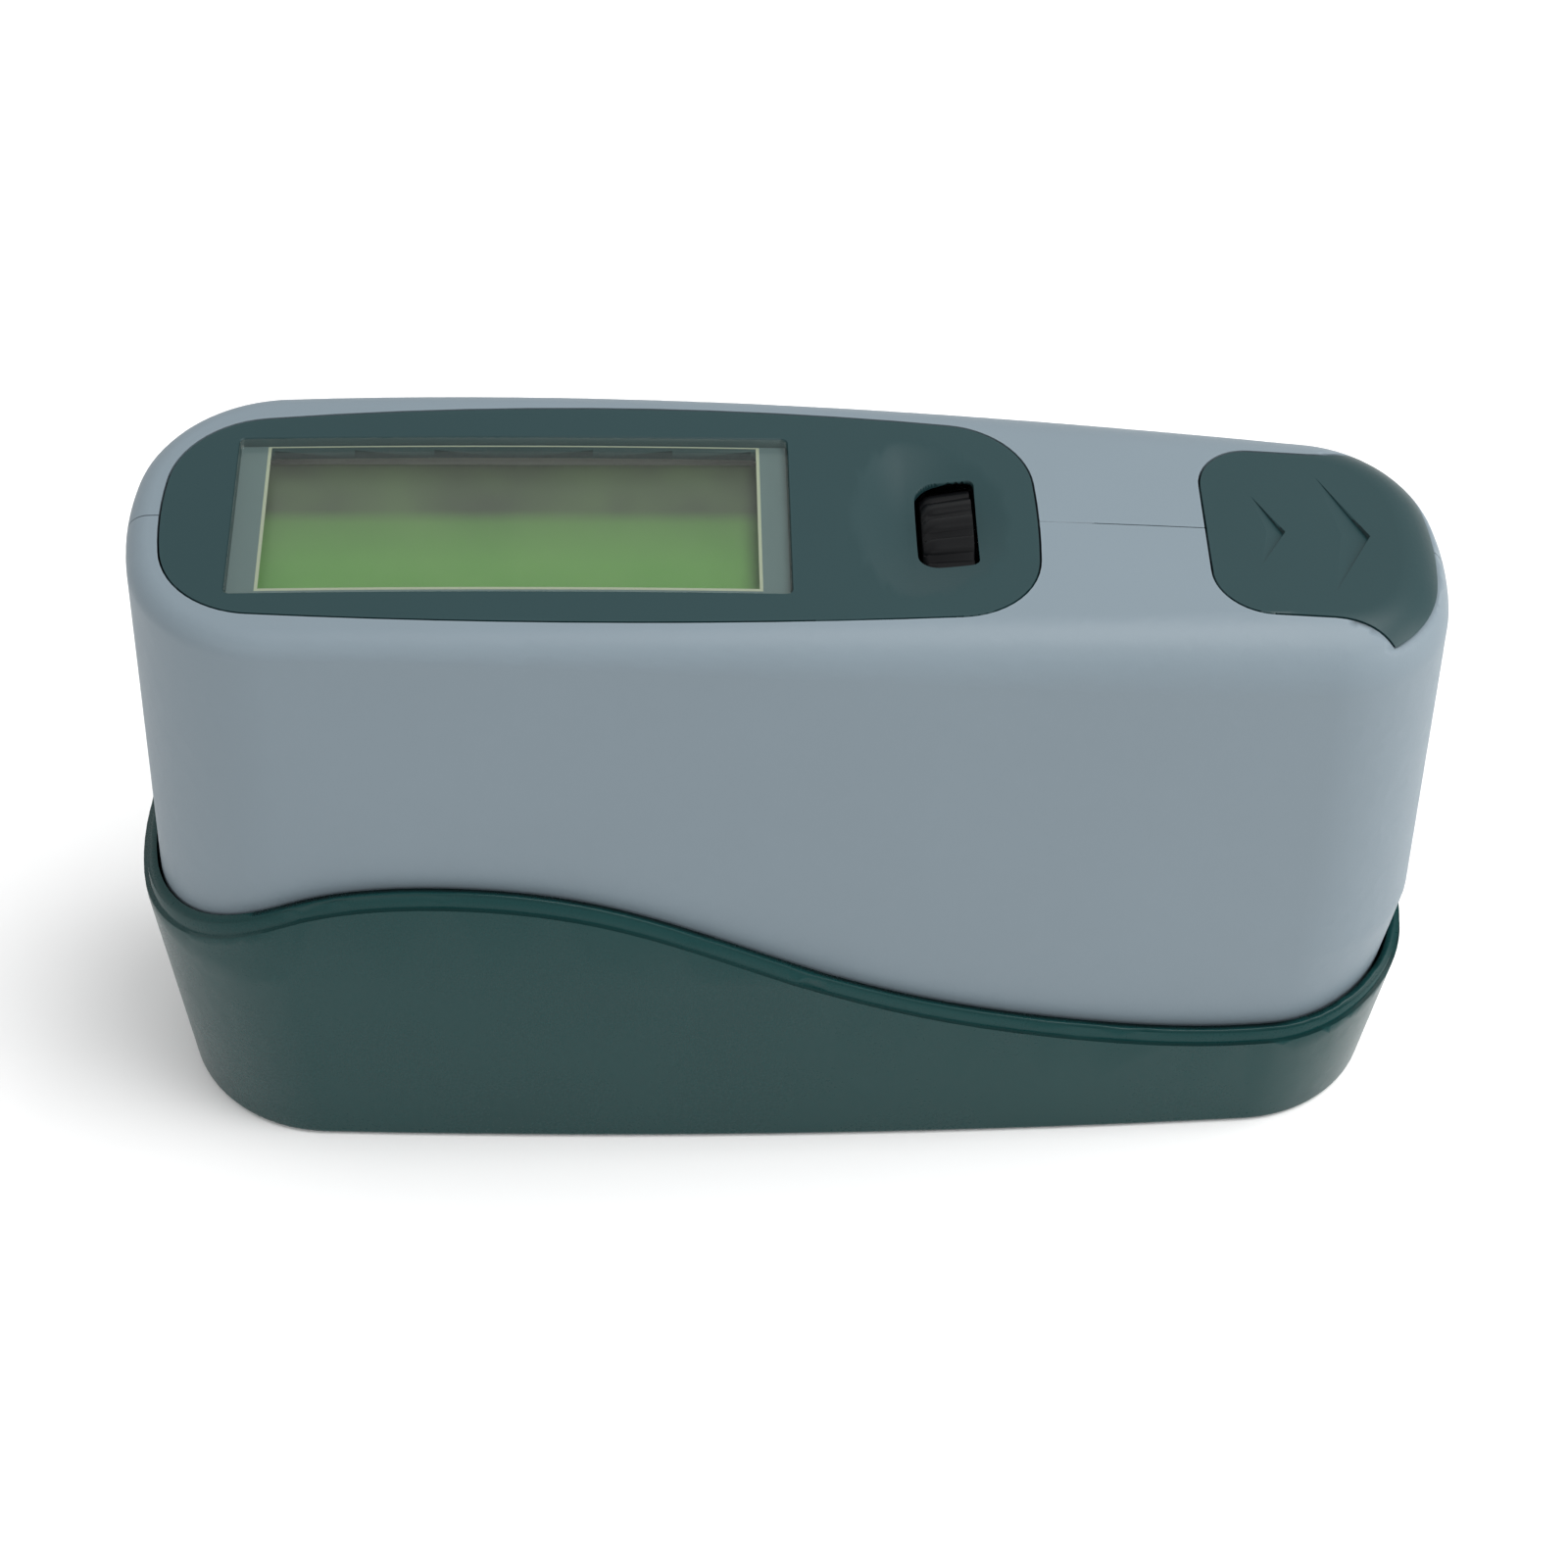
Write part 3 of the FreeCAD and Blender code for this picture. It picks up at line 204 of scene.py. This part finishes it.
def mouldedPlastic(name, look):
    finish = Finish(name)
    base = rgb(*look["colour"])
    cloud = finish.noise(wear["cloudSize"], 3.0)
    colour = finish.blend(cloud, shade(base, 1 - look["cloud"]), shade(base, 1 + look["cloud"]))
    if look["rub"]:
        worn = shade(base, wear["worn"], wear["wornPlus"])
        edge = finish.edges(wear["edgeWidth"]) * finish.noise(wear["patchSize"], 4.0).above(0.42, 0.2)
        colour = finish.blend(edge * look["rub"], colour, worn)
    grain = finish.noise(look["grain"] * mm, 2.0, 0.6)
    finish.set(Base_Color=colour, Roughness=look["rough"] + (cloud - 0.5) * 0.12 + (grain - 0.5) * 0.08,
               Normal=finish.bump(grain, 0.6, look["depth"] * mm), Specular_IOR_Level=look["gloss"])
    return finish.material


# worked metal: a brushed grain along X and dull stains; brush is in mm
metals = {
    "black_metal": {"colour": (34, 35, 38), "rough": 0.42, "metallic": 0.6, "brush": 0.6},
    "screw_steel": {"colour": (176, 176, 172), "rough": 0.30, "metallic": 1.0, "brush": 0.4},
    "tin_can": {"colour": (190, 191, 193), "rough": 0.28, "metallic": 1.0, "brush": 0.8},
    "contact_brass": {"colour": (206, 178, 112), "rough": 0.30, "metallic": 1.0, "brush": 0.5},
}


def workedMetal(name, look):
    finish = Finish(name)
    stretched = finish.add("ShaderNodeMapping", Vector=finish.place(), Scale=(1.0, 12.0, 12.0))
    brush = finish.add("ShaderNodeTexNoise", Vector=stretched, Scale=0.1 / (look["brush"] * mm), Detail=3.0)
    base = rgb(*look["colour"])
    stain = finish.noise(6 * mm, 3.0).above(0.55, 0.3)
    finish.set(Base_Color=finish.blend(stain * 0.5, base, shade(base, 0.72)), Metallic=look["metallic"],
               Roughness=look["rough"] + (brush - 0.5) * 0.25, Normal=finish.bump(brush, 0.3, 0.00001))
    return finish.material


def circuitBoard(name):
    finish = Finish(name)
    mask = finish.add("ShaderNodeTexBrick", {"offset": 0.4}, Vector=finish.place(), Scale=420.0,
                      Color1=(0, 0, 0, 1), Color2=(0.4, 0.4, 0.4, 1), Mortar=(1, 1, 1, 1))
    green = rgb(22, 92, 52)
    copper = rgb(58, 128, 78)
    colour = finish.blend(mask * 0.5, green, copper)
    finish.set(Base_Color=colour, Roughness=0.28 + finish.noise(0.002) * 0.1)
    return finish.material


def plainGlass(name, colour, rough, alpha=1.0):
    finish = Finish(name)
    smear = finish.noise(0.012, 4.0)
    finish.set(Base_Color=finish.blend(smear, colour, shade(colour, 0.85)),
               Roughness=rough + smear * 0.04, Alpha=alpha, IOR=1.5)
    return finish.material


def clearSheet(name):  # see-through, with a gloss that grows towards grazing views
    finish = Finish(name)
    seeThrough = finish.add("ShaderNodeBsdfTransparent", Color=rgb(246, 250, 247))
    facing = finish.add("ShaderNodeLayerWeight", out="Facing", Blend=0.5)
    gloss = finish.add("ShaderNodeBsdfGlossy", Color=(1, 1, 1, 1), Roughness=0.05)
    mixed = finish.add("ShaderNodeMixShader", **{"0": facing ** 4.0 * 0.9 + 0.02, "1": seeThrough, "2": gloss})
    finish.tree.links.new(mixed.link, finish.output.inputs["Surface"])
    return finish.material


# green display with a painted reflection: bright at the front, painted dark where the back third mirrors the room
displayLook = {"stops": [(0.0, rgb(74, 122, 48)), (0.34, rgb(80, 120, 58)), (0.58, rgb(74, 104, 56)),
                         (0.66, rgb(50, 52, 46)), (1.0, rgb(38, 36, 37))],
               "mottle": rgb(112, 138, 86), "mottleSize": 9 * mm, "mottleShare": 0.25, "rough": 0.30}


def displayGreenAndPaintedReflection(name, look):
    finish = Finish(name)
    low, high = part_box("lcd_glass")
    depth = (finish.axis("Y") - low.y) / (high.y - low.y)
    # painted reflection: the ramp darkens the back third of the display over its own green
    ramp = finish.add("ShaderNodeValToRGB", {"stops": look["stops"]}, Fac=depth)
    patches = finish.noise(look["mottleSize"]).above(0.5, 0.5) * look["mottleShare"]
    finish.set(Base_Color=finish.blend(patches, ramp, look["mottle"]),
               Roughness=look["rough"] + finish.noise(4 * mm) * 0.05)
    return finish.material


print("making the finishes")
finishes = {name: mouldedPlastic(name, look) for name, look in plastics.items()}
finishes.update({name: workedMetal(name, look) for name, look in metals.items()})
finishes["circuit_board"] = circuitBoard("circuit_board")
finishes["black_glass"] = plainGlass("black_glass", rgb(10, 10, 12), 0.03)
finishes["clear_glass"] = plainGlass("clear_glass", rgb(225, 235, 235), 0.02, 0.35)
finishes["lamp_glass"] = plainGlass("lamp_glass", rgb(238, 232, 205), 0.05, 0.6)
finishes["window_plastic"] = clearSheet("window_plastic")
finishes["lcd_green"] = displayGreenAndPaintedReflection("lcd_green", displayLook)


def dress(piece, name):
    piece.data.materials.clear()
    piece.data.materials.append(finishes[name])


arch = {"crown": (-23.0 * mm, 64.2 * mm), "radius": 1.0}  # the long curve of the meter's top, along X
facingUp = 0.6  # a face counts as part of the top when its normal's z is above this
sameHeight = 0.004 * mm
weldDistance = 0.002 * mm


def archHeight(x, drop=0.0):
    centre = arch["crown"][1] - arch["radius"]
    return centre + math.sqrt((arch["radius"] - drop) ** 2 - (x - arch["crown"][0]) ** 2)


# the soft thumb dish round the wheel: an oval, steep on its left and running out to the right
dish = {"left": 4.6 * mm, "deepest": 9.2 * mm, "right": 17.6 * mm, "half": 9.7 * mm, "depth": 1.5 * mm,
        "edge": 1.35, "cuts": 4, "margin": 0.6 * mm, "nearTop": 0.3 * mm, "fineLeft": 3.6 * mm, "fineRound": 2.4 * mm,
        "slack": 0.15 * mm}


def dishDepth(x, y):
    reach = dish["deepest"] - dish["left"] if x < dish["deepest"] else dish["right"] - dish["deepest"]
    away = ((x - dish["deepest"]) / reach) ** 2 + (y / dish["half"]) ** 2
    return dish["depth"] * max(0.0, 1.0 - away) ** dish["edge"]


def topHeight(node, x, y):  # the outer surface of the meter's top, with the dish where the panel has it
    return archHeight(x) - (dishDepth(x, y) if node == "display_panel" else 0.0)


def topNormal(node, x, y, step=0.01 * mm):
    slopeX = (topHeight(node, x + step, y) - topHeight(node, x - step, y)) / (2 * step)
    slopeY = (topHeight(node, x, y + step) - topHeight(node, x, y - step)) / (2 * step)
    return Vector((-slopeX, -slopeY, 1.0)).normalized()


def shapeDish(work):  # refines the panel's top round the wheel and lays it on the oval dish
    margin = dish["margin"]

    def onTop(face):
        spot = face.calc_center_median()
        return (face.normal.z > facingUp and spot.z > archHeight(spot.x) - dish["depth"] - dish["slack"]
                and dish["left"] - dish["fineLeft"] < spot.x < dish["right"] + dish["fineRound"]
                and abs(spot.y) < dish["half"] + dish["fineRound"])

    work.normal_update()
    work.edges.index_update()
    edges = sorted({edge for face in work.faces if onTop(face) for edge in face.edges}, key=lambda edge: edge.index)
    bmesh.ops.subdivide_edges(work, edges=edges, cuts=dish["cuts"], use_grid_fill=True)
    work.normal_update()
    laid = {vert for face in work.faces if onTop(face) for vert in face.verts}
    laid |= {vert for vert in work.verts if archHeight(vert.co.x) - vert.co.z < dish["nearTop"]}
    for vert in laid:
        if dish["left"] - margin < vert.co.x < dish["right"] + margin and abs(vert.co.y) < dish["half"] + margin:
            vert.co.z = topHeight("display_panel", vert.co.x, vert.co.y)
    bmesh.ops.dissolve_degenerate(work, dist=0.0005 * mm, edges=work.edges)


def plainMesh(piece):  # bakes a piece's modifiers into its mesh
    made = bpy.data.meshes.new_from_object(piece.evaluated_get(bpy.context.evaluated_depsgraph_get()))
    piece.modifiers.clear()
    piece.data = made
    return made


def smoothCopy(node, angle):  # a welded copy of a CAD node, smooth except at its real edges
    mesh = nodes[node].data.copy()
    piece = bpy.data.objects.new(node + "Finished", mesh)
    bpy.context.scene.collection.objects.link(piece)
    work = bmesh.new()
    work.from_mesh(mesh)
    bmesh.ops.remove_doubles(work, verts=work.verts, dist=weldDistance)
    if node == "display_panel":
        shapeDish(work)
    work.to_mesh(mesh)
    work.free()
    mesh.shade_smooth()
    mesh.set_sharp_from_angle(angle=math.radians(angle))
    even = piece.modifiers.new("evenShading", "WEIGHTED_NORMAL")
    even.keep_sharp = True
    even.weight = 100
    mesh = plainMesh(piece)
    normals = [Vector(corner.vector) for corner in mesh.corner_normals]
    for face in mesh.polygons:  # faces on the arch or the dish get that surface's own normals
        corners = [mesh.vertices[spot].co for spot in face.vertices]
        laid = all(abs(co.z - topHeight(node, co.x, co.y)) < sameHeight for co in corners)
        if laid and face.normal.z > facingUp:
            for corner in face.loop_indices:
                spot = mesh.vertices[mesh.loops[corner].vertex_index].co
                normals[corner] = topNormal(node, spot.x, spot.y)
    mesh.normals_split_custom_set(normals)
    return piece


def meshPiece(name, verts, faces, sharp=34.0):
    mesh = bpy.data.meshes.new(name)
    mesh.from_pydata(verts, [], faces)
    work = bmesh.new()
    work.from_mesh(mesh)
    bmesh.ops.remove_doubles(work, verts=work.verts, dist=weldDistance / 4)
    bmesh.ops.recalc_face_normals(work, faces=work.faces)
    work.to_mesh(mesh)
    work.free()
    mesh.shade_smooth()
    mesh.set_sharp_from_angle(angle=math.radians(sharp))
    piece = bpy.data.objects.new(name, mesh)
    bpy.context.scene.collection.objects.link(piece)
    return piece


def settle(piece, body, slotName, *replaced, finish=None):
    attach(piece, body)
    if replaced:
        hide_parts(*replaced)
    dress(piece, finish or slotName)


print("dressing the CAD pieces")
for node, piece in nodes.items():
    dress(piece, slotOf[node])

print("welding and smoothing the moulded skins")
sharpAngles = {"front_shell": 32, "rear_shell": 32, "holder_cup": 42, "display_panel": 32, "battery_door": 32,
               "base_plate": 32, "display_window": 32, "calibration_tile": 32}
for node, angle in sharpAngles.items():
    settle(smoothCopy(node, angle), bodyOf[node], slotOf[node], node)


print("window mask and border")
windowLook = {"sheetDrop": 0.915 * mm, "sheetThick": 0.03 * mm, "endLedge": 2.35 * mm, "frontLedge": 1.1 * mm,
              "backLedge": 0.15 * mm, "border": 0.28 * mm, "backBorder": 0.12 * mm, "steps": 40}


def archedFrame(name, outer, inner):  # a thin sheet that follows the arch, with a rectangular opening
    x0, x1, y0, y1 = outer
    a0, a1, b0, b1 = inner
    steps = windowLook["steps"]
    xs = [x0, a0] + [a0 + (a1 - a0) * step / steps for step in range(1, steps)] + [a1, x1]
    ys = [y0, b0, b1, y1]
    verts = []
    for drop in (windowLook["sheetDrop"], windowLook["sheetDrop"] + windowLook["sheetThick"]):
        for x in xs:
            for y in ys:
                verts.append((x, y, archHeight(x, drop)))
    layer = len(xs) * len(ys)

    def at(level, i, j):
        return level * layer + i * len(ys) + j

    solid = {(i, j) for i in range(len(xs) - 1) for j in range(3) if j != 1 or i in (0, len(xs) - 2)}
    faces = []
    for i, j in sorted(solid):
        faces.append((at(0, i, j), at(0, i + 1, j), at(0, i + 1, j + 1), at(0, i, j + 1)))
        faces.append((at(1, i, j), at(1, i, j + 1), at(1, i + 1, j + 1), at(1, i + 1, j)))
        for (di, dj), (p, q) in (((-1, 0), ((0, 0), (0, 1))), ((1, 0), ((1, 0), (1, 1))),
                                 ((0, -1), ((0, 0), (1, 0))), ((0, 1), ((0, 1), (1, 1)))):
            if (i + di, j + dj) not in solid:
                faces.append((at(0, i + p[0], j + p[1]), at(0, i + q[0], j + q[1]),
                              at(1, i + q[0], j + q[1]), at(1, i + p[0], j + p[1])))
    return meshPiece(name, verts, faces)


windowLow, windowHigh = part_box("display_window")
edge = 0.1 * mm
outside = (windowLow.x + edge, windowHigh.x - edge, windowLow.y + edge, windowHigh.y - edge)
opening = (windowLow.x + windowLook["endLedge"], windowHigh.x - windowLook["endLedge"],
           windowLow.y + windowLook["frontLedge"], windowHigh.y - windowLook["backLedge"])
highlightWidth = windowLook["border"]
inside = (opening[0] + highlightWidth, opening[1] - highlightWidth, opening[2] + highlightWidth, opening[3] - windowLook["backBorder"])
settle(archedFrame("windowMask", outside, opening), "meter", "window_plastic", finish="windowMask")
# the pale ring round the opening is a painted highlight along the window's inner edges
settle(archedFrame("windowEdgeHighlight", opening, inside), "meter", "window_plastic", finish="windowEdgeHighlight")


# a geometry-nodes tree builder: one method for nodes, inputs by name
class Tree:
    def __init__(self, name, inputs):
        self.group = bpy.data.node_groups.new(name, "GeometryNodeTree")
        self.group.interface.new_socket("Geometry", in_out="INPUT", socket_type="NodeSocketGeometry")
        for label, value in inputs.items():
            kind = "NodeSocketInt" if isinstance(value, int) else "NodeSocketFloat"
            socket = self.group.interface.new_socket(label, in_out="INPUT", socket_type=kind)
            socket.default_value = value
        self.group.interface.new_socket("Geometry", in_out="OUTPUT", socket_type="NodeSocketGeometry")
        self.start = self.group.nodes.new("NodeGroupInput")
        self.end = self.group.nodes.new("NodeGroupOutput")

    def value(self, label):
        return self.start.outputs[label]

    def add(self, kind, settings=None, out=0, **inputs):
        made = self.group.nodes.new(kind)
        for key, value in (settings or {}).items():
            setattr(made, key, value)
        for key, value in inputs.items():
            spot = made.inputs[int(key[1:])] if key[0] == "_" else made.inputs[key.replace("_", " ")]
            if hasattr(value, "is_linked"):
                self.group.links.new(value, spot)
            else:
                spot.default_value = value
        return made.outputs[out]

    def maths(self, operation, first, second=0.0):
        return self.add("ShaderNodeMath", {"operation": operation}, _0=first, _1=second)

    def finish(self, geometry, material):
        solid = self.add("GeometryNodeRealizeInstances", Geometry=geometry)
        painted = self.add("GeometryNodeSetMaterial", Geometry=solid, Material=material)
        self.group.links.new(painted, self.end.inputs[0])


def grow(piece, tree, **values):  # runs a tree on a piece, then keeps the plain mesh
    modifier = piece.modifiers.new("rule", "NODES")
    modifier.node_group = tree.group
    for item in tree.group.interface.items_tree:
        if item.in_out == "INPUT" and item.name in values:
            modifier[item.identifier] = values[item.name]
    plainMesh(piece)


print("thumbwheel")
wheelLook = {"grooves": 24, "groove": 0.75 * mm, "grooveDepth": 0.3 * mm, "leftR": 8.95 * mm, "rightR": 9.6 * mm,
             "shoulder": 0.5 * mm, "recess": 1.2 * mm, "recessR": 6.4 * mm, "boreR": 1.5 * mm, "around": 192,
             "acrossRib": 9, "alongRib": 8, "ribFlanks": 4.0, "ribDrop": 1.25, "ribOverlap": 1.06, "rollEnds": 5.5}
wheelLow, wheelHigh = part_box("thumbwheel")
wheelZ = (wheelLow.z + wheelHigh.z) / 2


def wheelDrum():  # the turned body under the ribs, as a closed ring
    look = wheelLook
    low, high = wheelLow.x, wheelHigh.x
    leftR = look["leftR"] - look["grooveDepth"]
    rightR = look["rightR"] - look["grooveDepth"]
    profile = [(low + look["recess"], look["boreR"]), (low + look["recess"], look["recessR"]),
               (low, look["recessR"] + 0.05 * mm), (low, leftR - look["shoulder"]), (low + look["shoulder"], leftR),
               (high - 0.1 * mm, rightR), (high, rightR - 0.1 * mm), (high, look["boreR"])]
    verts = []
    for step in range(look["around"]):
        turn = 2 * math.pi * step / look["around"]
        for x, r in profile:
            verts.append((x, r * math.sin(turn), wheelZ + r * math.cos(turn)))
    count = len(profile)
    faces = []
    for step in range(look["around"]):
        ahead = (step + 1) % look["around"]
        for k in range(count):
            n = (k + 1) % count
            faces.append((step * count + k, ahead * count + k, ahead * count + n, step * count + n))
    return meshPiece("thumbwheelFinished", verts, faces)


def wheelRib():  # one smooth broad rib at the top of the wheel, its ends rolled off
    look = wheelLook
    low, high = wheelLow.x + 0.05 * mm, wheelHigh.x - 0.05 * mm
    pitch = 2 * math.pi / look["grooves"]
    verts = []
    across, along = look["acrossRib"], look["alongRib"]
    for i in range(along + 1):
        share = i / along
        x = low + (high - low) * share
        outerR = look["leftR"] + (look["rightR"] - look["leftR"]) * share
        roll = look["shoulder"] * max(0.0, 1 - share * look["rollEnds"]) ** 2
        halfTurn = (pitch - look["groove"] / outerR) / 2
        for j in range(across + 1):
            part = 2 * j / across - 1
            drop = look["grooveDepth"] * look["ribDrop"] * abs(part) ** look["ribFlanks"]
            r = outerR - drop - roll
            turn = part * halfTurn * look["ribOverlap"]
            verts.append((x, r * math.sin(turn), wheelZ + r * math.cos(turn)))
        for part in (1, -1):
            r = outerR - look["grooveDepth"] * 2.0
            verts.append((x, r * math.sin(part * halfTurn), wheelZ + r * math.cos(part * halfTurn)))
    ring = across + 3
    faces = [tuple(range(ring)), tuple(range(along * ring, (along + 1) * ring))]
    for i in range(along):
        for j in range(ring):
            n = (j + 1) % ring
            faces.append((i * ring + j, (i + 1) * ring + j, (i + 1) * ring + n, i * ring + n))
    return meshPiece("wheelRibs", verts, faces)


def ribRing():  # copies of the rib, turned about the wheel's axis
    tree = Tree("ribRing", {"Count": 24, "Axis Height": 0.05})
    centre = tree.add("ShaderNodeCombineXYZ", _2=tree.value("Axis Height"))
    lowered = tree.add("GeometryNodeTransform", Geometry=tree.value("Geometry"),
                       Translation=tree.add("ShaderNodeVectorMath", {"operation": "SCALE"}, _0=centre, _3=-1.0))
    points = tree.add("GeometryNodePoints", Count=tree.value("Count"), Position=centre)
    number = tree.add("GeometryNodeInputIndex")
    turn = tree.maths("MULTIPLY", tree.maths("DIVIDE", number, tree.value("Count")), 2 * math.pi)
    turned = tree.add("ShaderNodeCombineXYZ", _0=turn)
    tree.finish(tree.add("GeometryNodeInstanceOnPoints", Points=points, Instance=lowered, Rotation=turned),
                finishes["wheel_plastic"])
    return tree


def mergeInto(piece, other):  # adds another piece's mesh to this one
    work = bmesh.new()
    work.from_mesh(piece.data)
    work.from_mesh(other.data)
    work.to_mesh(piece.data)
    work.free()
    bpy.data.objects.remove(other)


ribs = wheelRib()
grow(ribs, ribRing(), **{"Count": wheelLook["grooves"], "Axis Height": wheelZ})
wheel = wheelDrum()
mergeInto(wheel, ribs)
wheel.data.shade_smooth()
wheel.data.set_sharp_from_angle(angle=math.radians(40))
settle(wheel, "wheel", "wheel_plastic", "thumbwheel")


print("floor, lights and camera")
stageLook = {"floorSize": 1.6, "sky": 0.82, "aim": (0.0, 0.0, 0.03), "lights": {
    "softboxTop": {"place": (0.3, -0.05, 0.75), "size": (0.6, 0.5), "power": 5.3},
    "softboxFront": {"place": (-0.35, -0.7, 0.35), "size": (0.5, 0.4), "power": 0.8},
    "softboxRight": {"place": (0.55, -0.12, 0.22), "size": (0.35, 0.3), "power": 1.3}}}


def addFloor():
    mesh = bpy.data.meshes.new("floor")
    half = stageLook["floorSize"]
    mesh.from_pydata([(-half, -half, 0), (half, -half, 0), (half, half, 0), (-half, half, 0)], [], [(0, 1, 2, 3)])
    floor = bpy.data.objects.new("floor", mesh)
    bpy.context.scene.collection.objects.link(floor)
    finish = Finish("floorPaint")
    finish.set(Base_Color=finish.blend(finish.noise(0.3), (0.86, 0.86, 0.86, 1), (0.9, 0.9, 0.9, 1)), Roughness=0.9)
    mesh.materials.append(finish.material)


def addLight(name, look):
    data = bpy.data.lights.new(name, "AREA")
    data.shape = "RECTANGLE"
    data.size, data.size_y = look["size"]
    data.energy = look["power"]
    lamp = bpy.data.objects.new(name, data)
    lamp.location = look["place"]
    away = Vector(stageLook["aim"]) - Vector(look["place"])
    lamp.rotation_euler = away.to_track_quat("-Z", "Y").to_euler()
    bpy.context.scene.collection.objects.link(lamp)


cameraLook = {"azimuth": -3.01, "elevation": 46.59, "roll": 2.17, "distance": 0.3313,
              "target": (-0.0005, 0.0, 0.0311), "lens": 84.26, "sensor": 36.0}


def addCamera(look):
    data = bpy.data.cameras.new("camera")
    data.lens = look["lens"]
    data.sensor_width = look["sensor"]
    data.clip_start = 0.01
    around = math.radians(look["azimuth"])
    up = math.radians(look["elevation"])
    roll = math.radians(look["roll"])
    back = Vector((math.sin(around) * math.cos(up), -math.cos(around) * math.cos(up), math.sin(up)))
    right = Vector((math.cos(around), math.sin(around), 0))
    top = back.cross(right)
    turnedRight = right * math.cos(roll) + top * math.sin(roll)
    turnedTop = top * math.cos(roll) - right * math.sin(roll)
    camera = bpy.data.objects.new("camera", data)
    turn = Matrix((turnedRight, turnedTop, back)).transposed().to_4x4()
    camera.matrix_world = Matrix.Translation(Vector(look["target"]) + back * look["distance"]) @ turn
    bpy.context.scene.collection.objects.link(camera)
    bpy.context.scene.camera = camera


def addSky(strength):
    world = bpy.data.worlds.new("sky")
    world.use_nodes = True
    background = world.node_tree.nodes["Background"]
    background.inputs["Color"].default_value = (1.0, 1.0, 1.0, 1.0)
    background.inputs["Strength"].default_value = strength
    bpy.context.scene.world = world


addFloor()
addSky(stageLook["sky"])
for name, look in stageLook["lights"].items():
    addLight(name, look)
addCamera(cameraLook)
bpy.context.scene.view_settings.view_transform = "Standard"
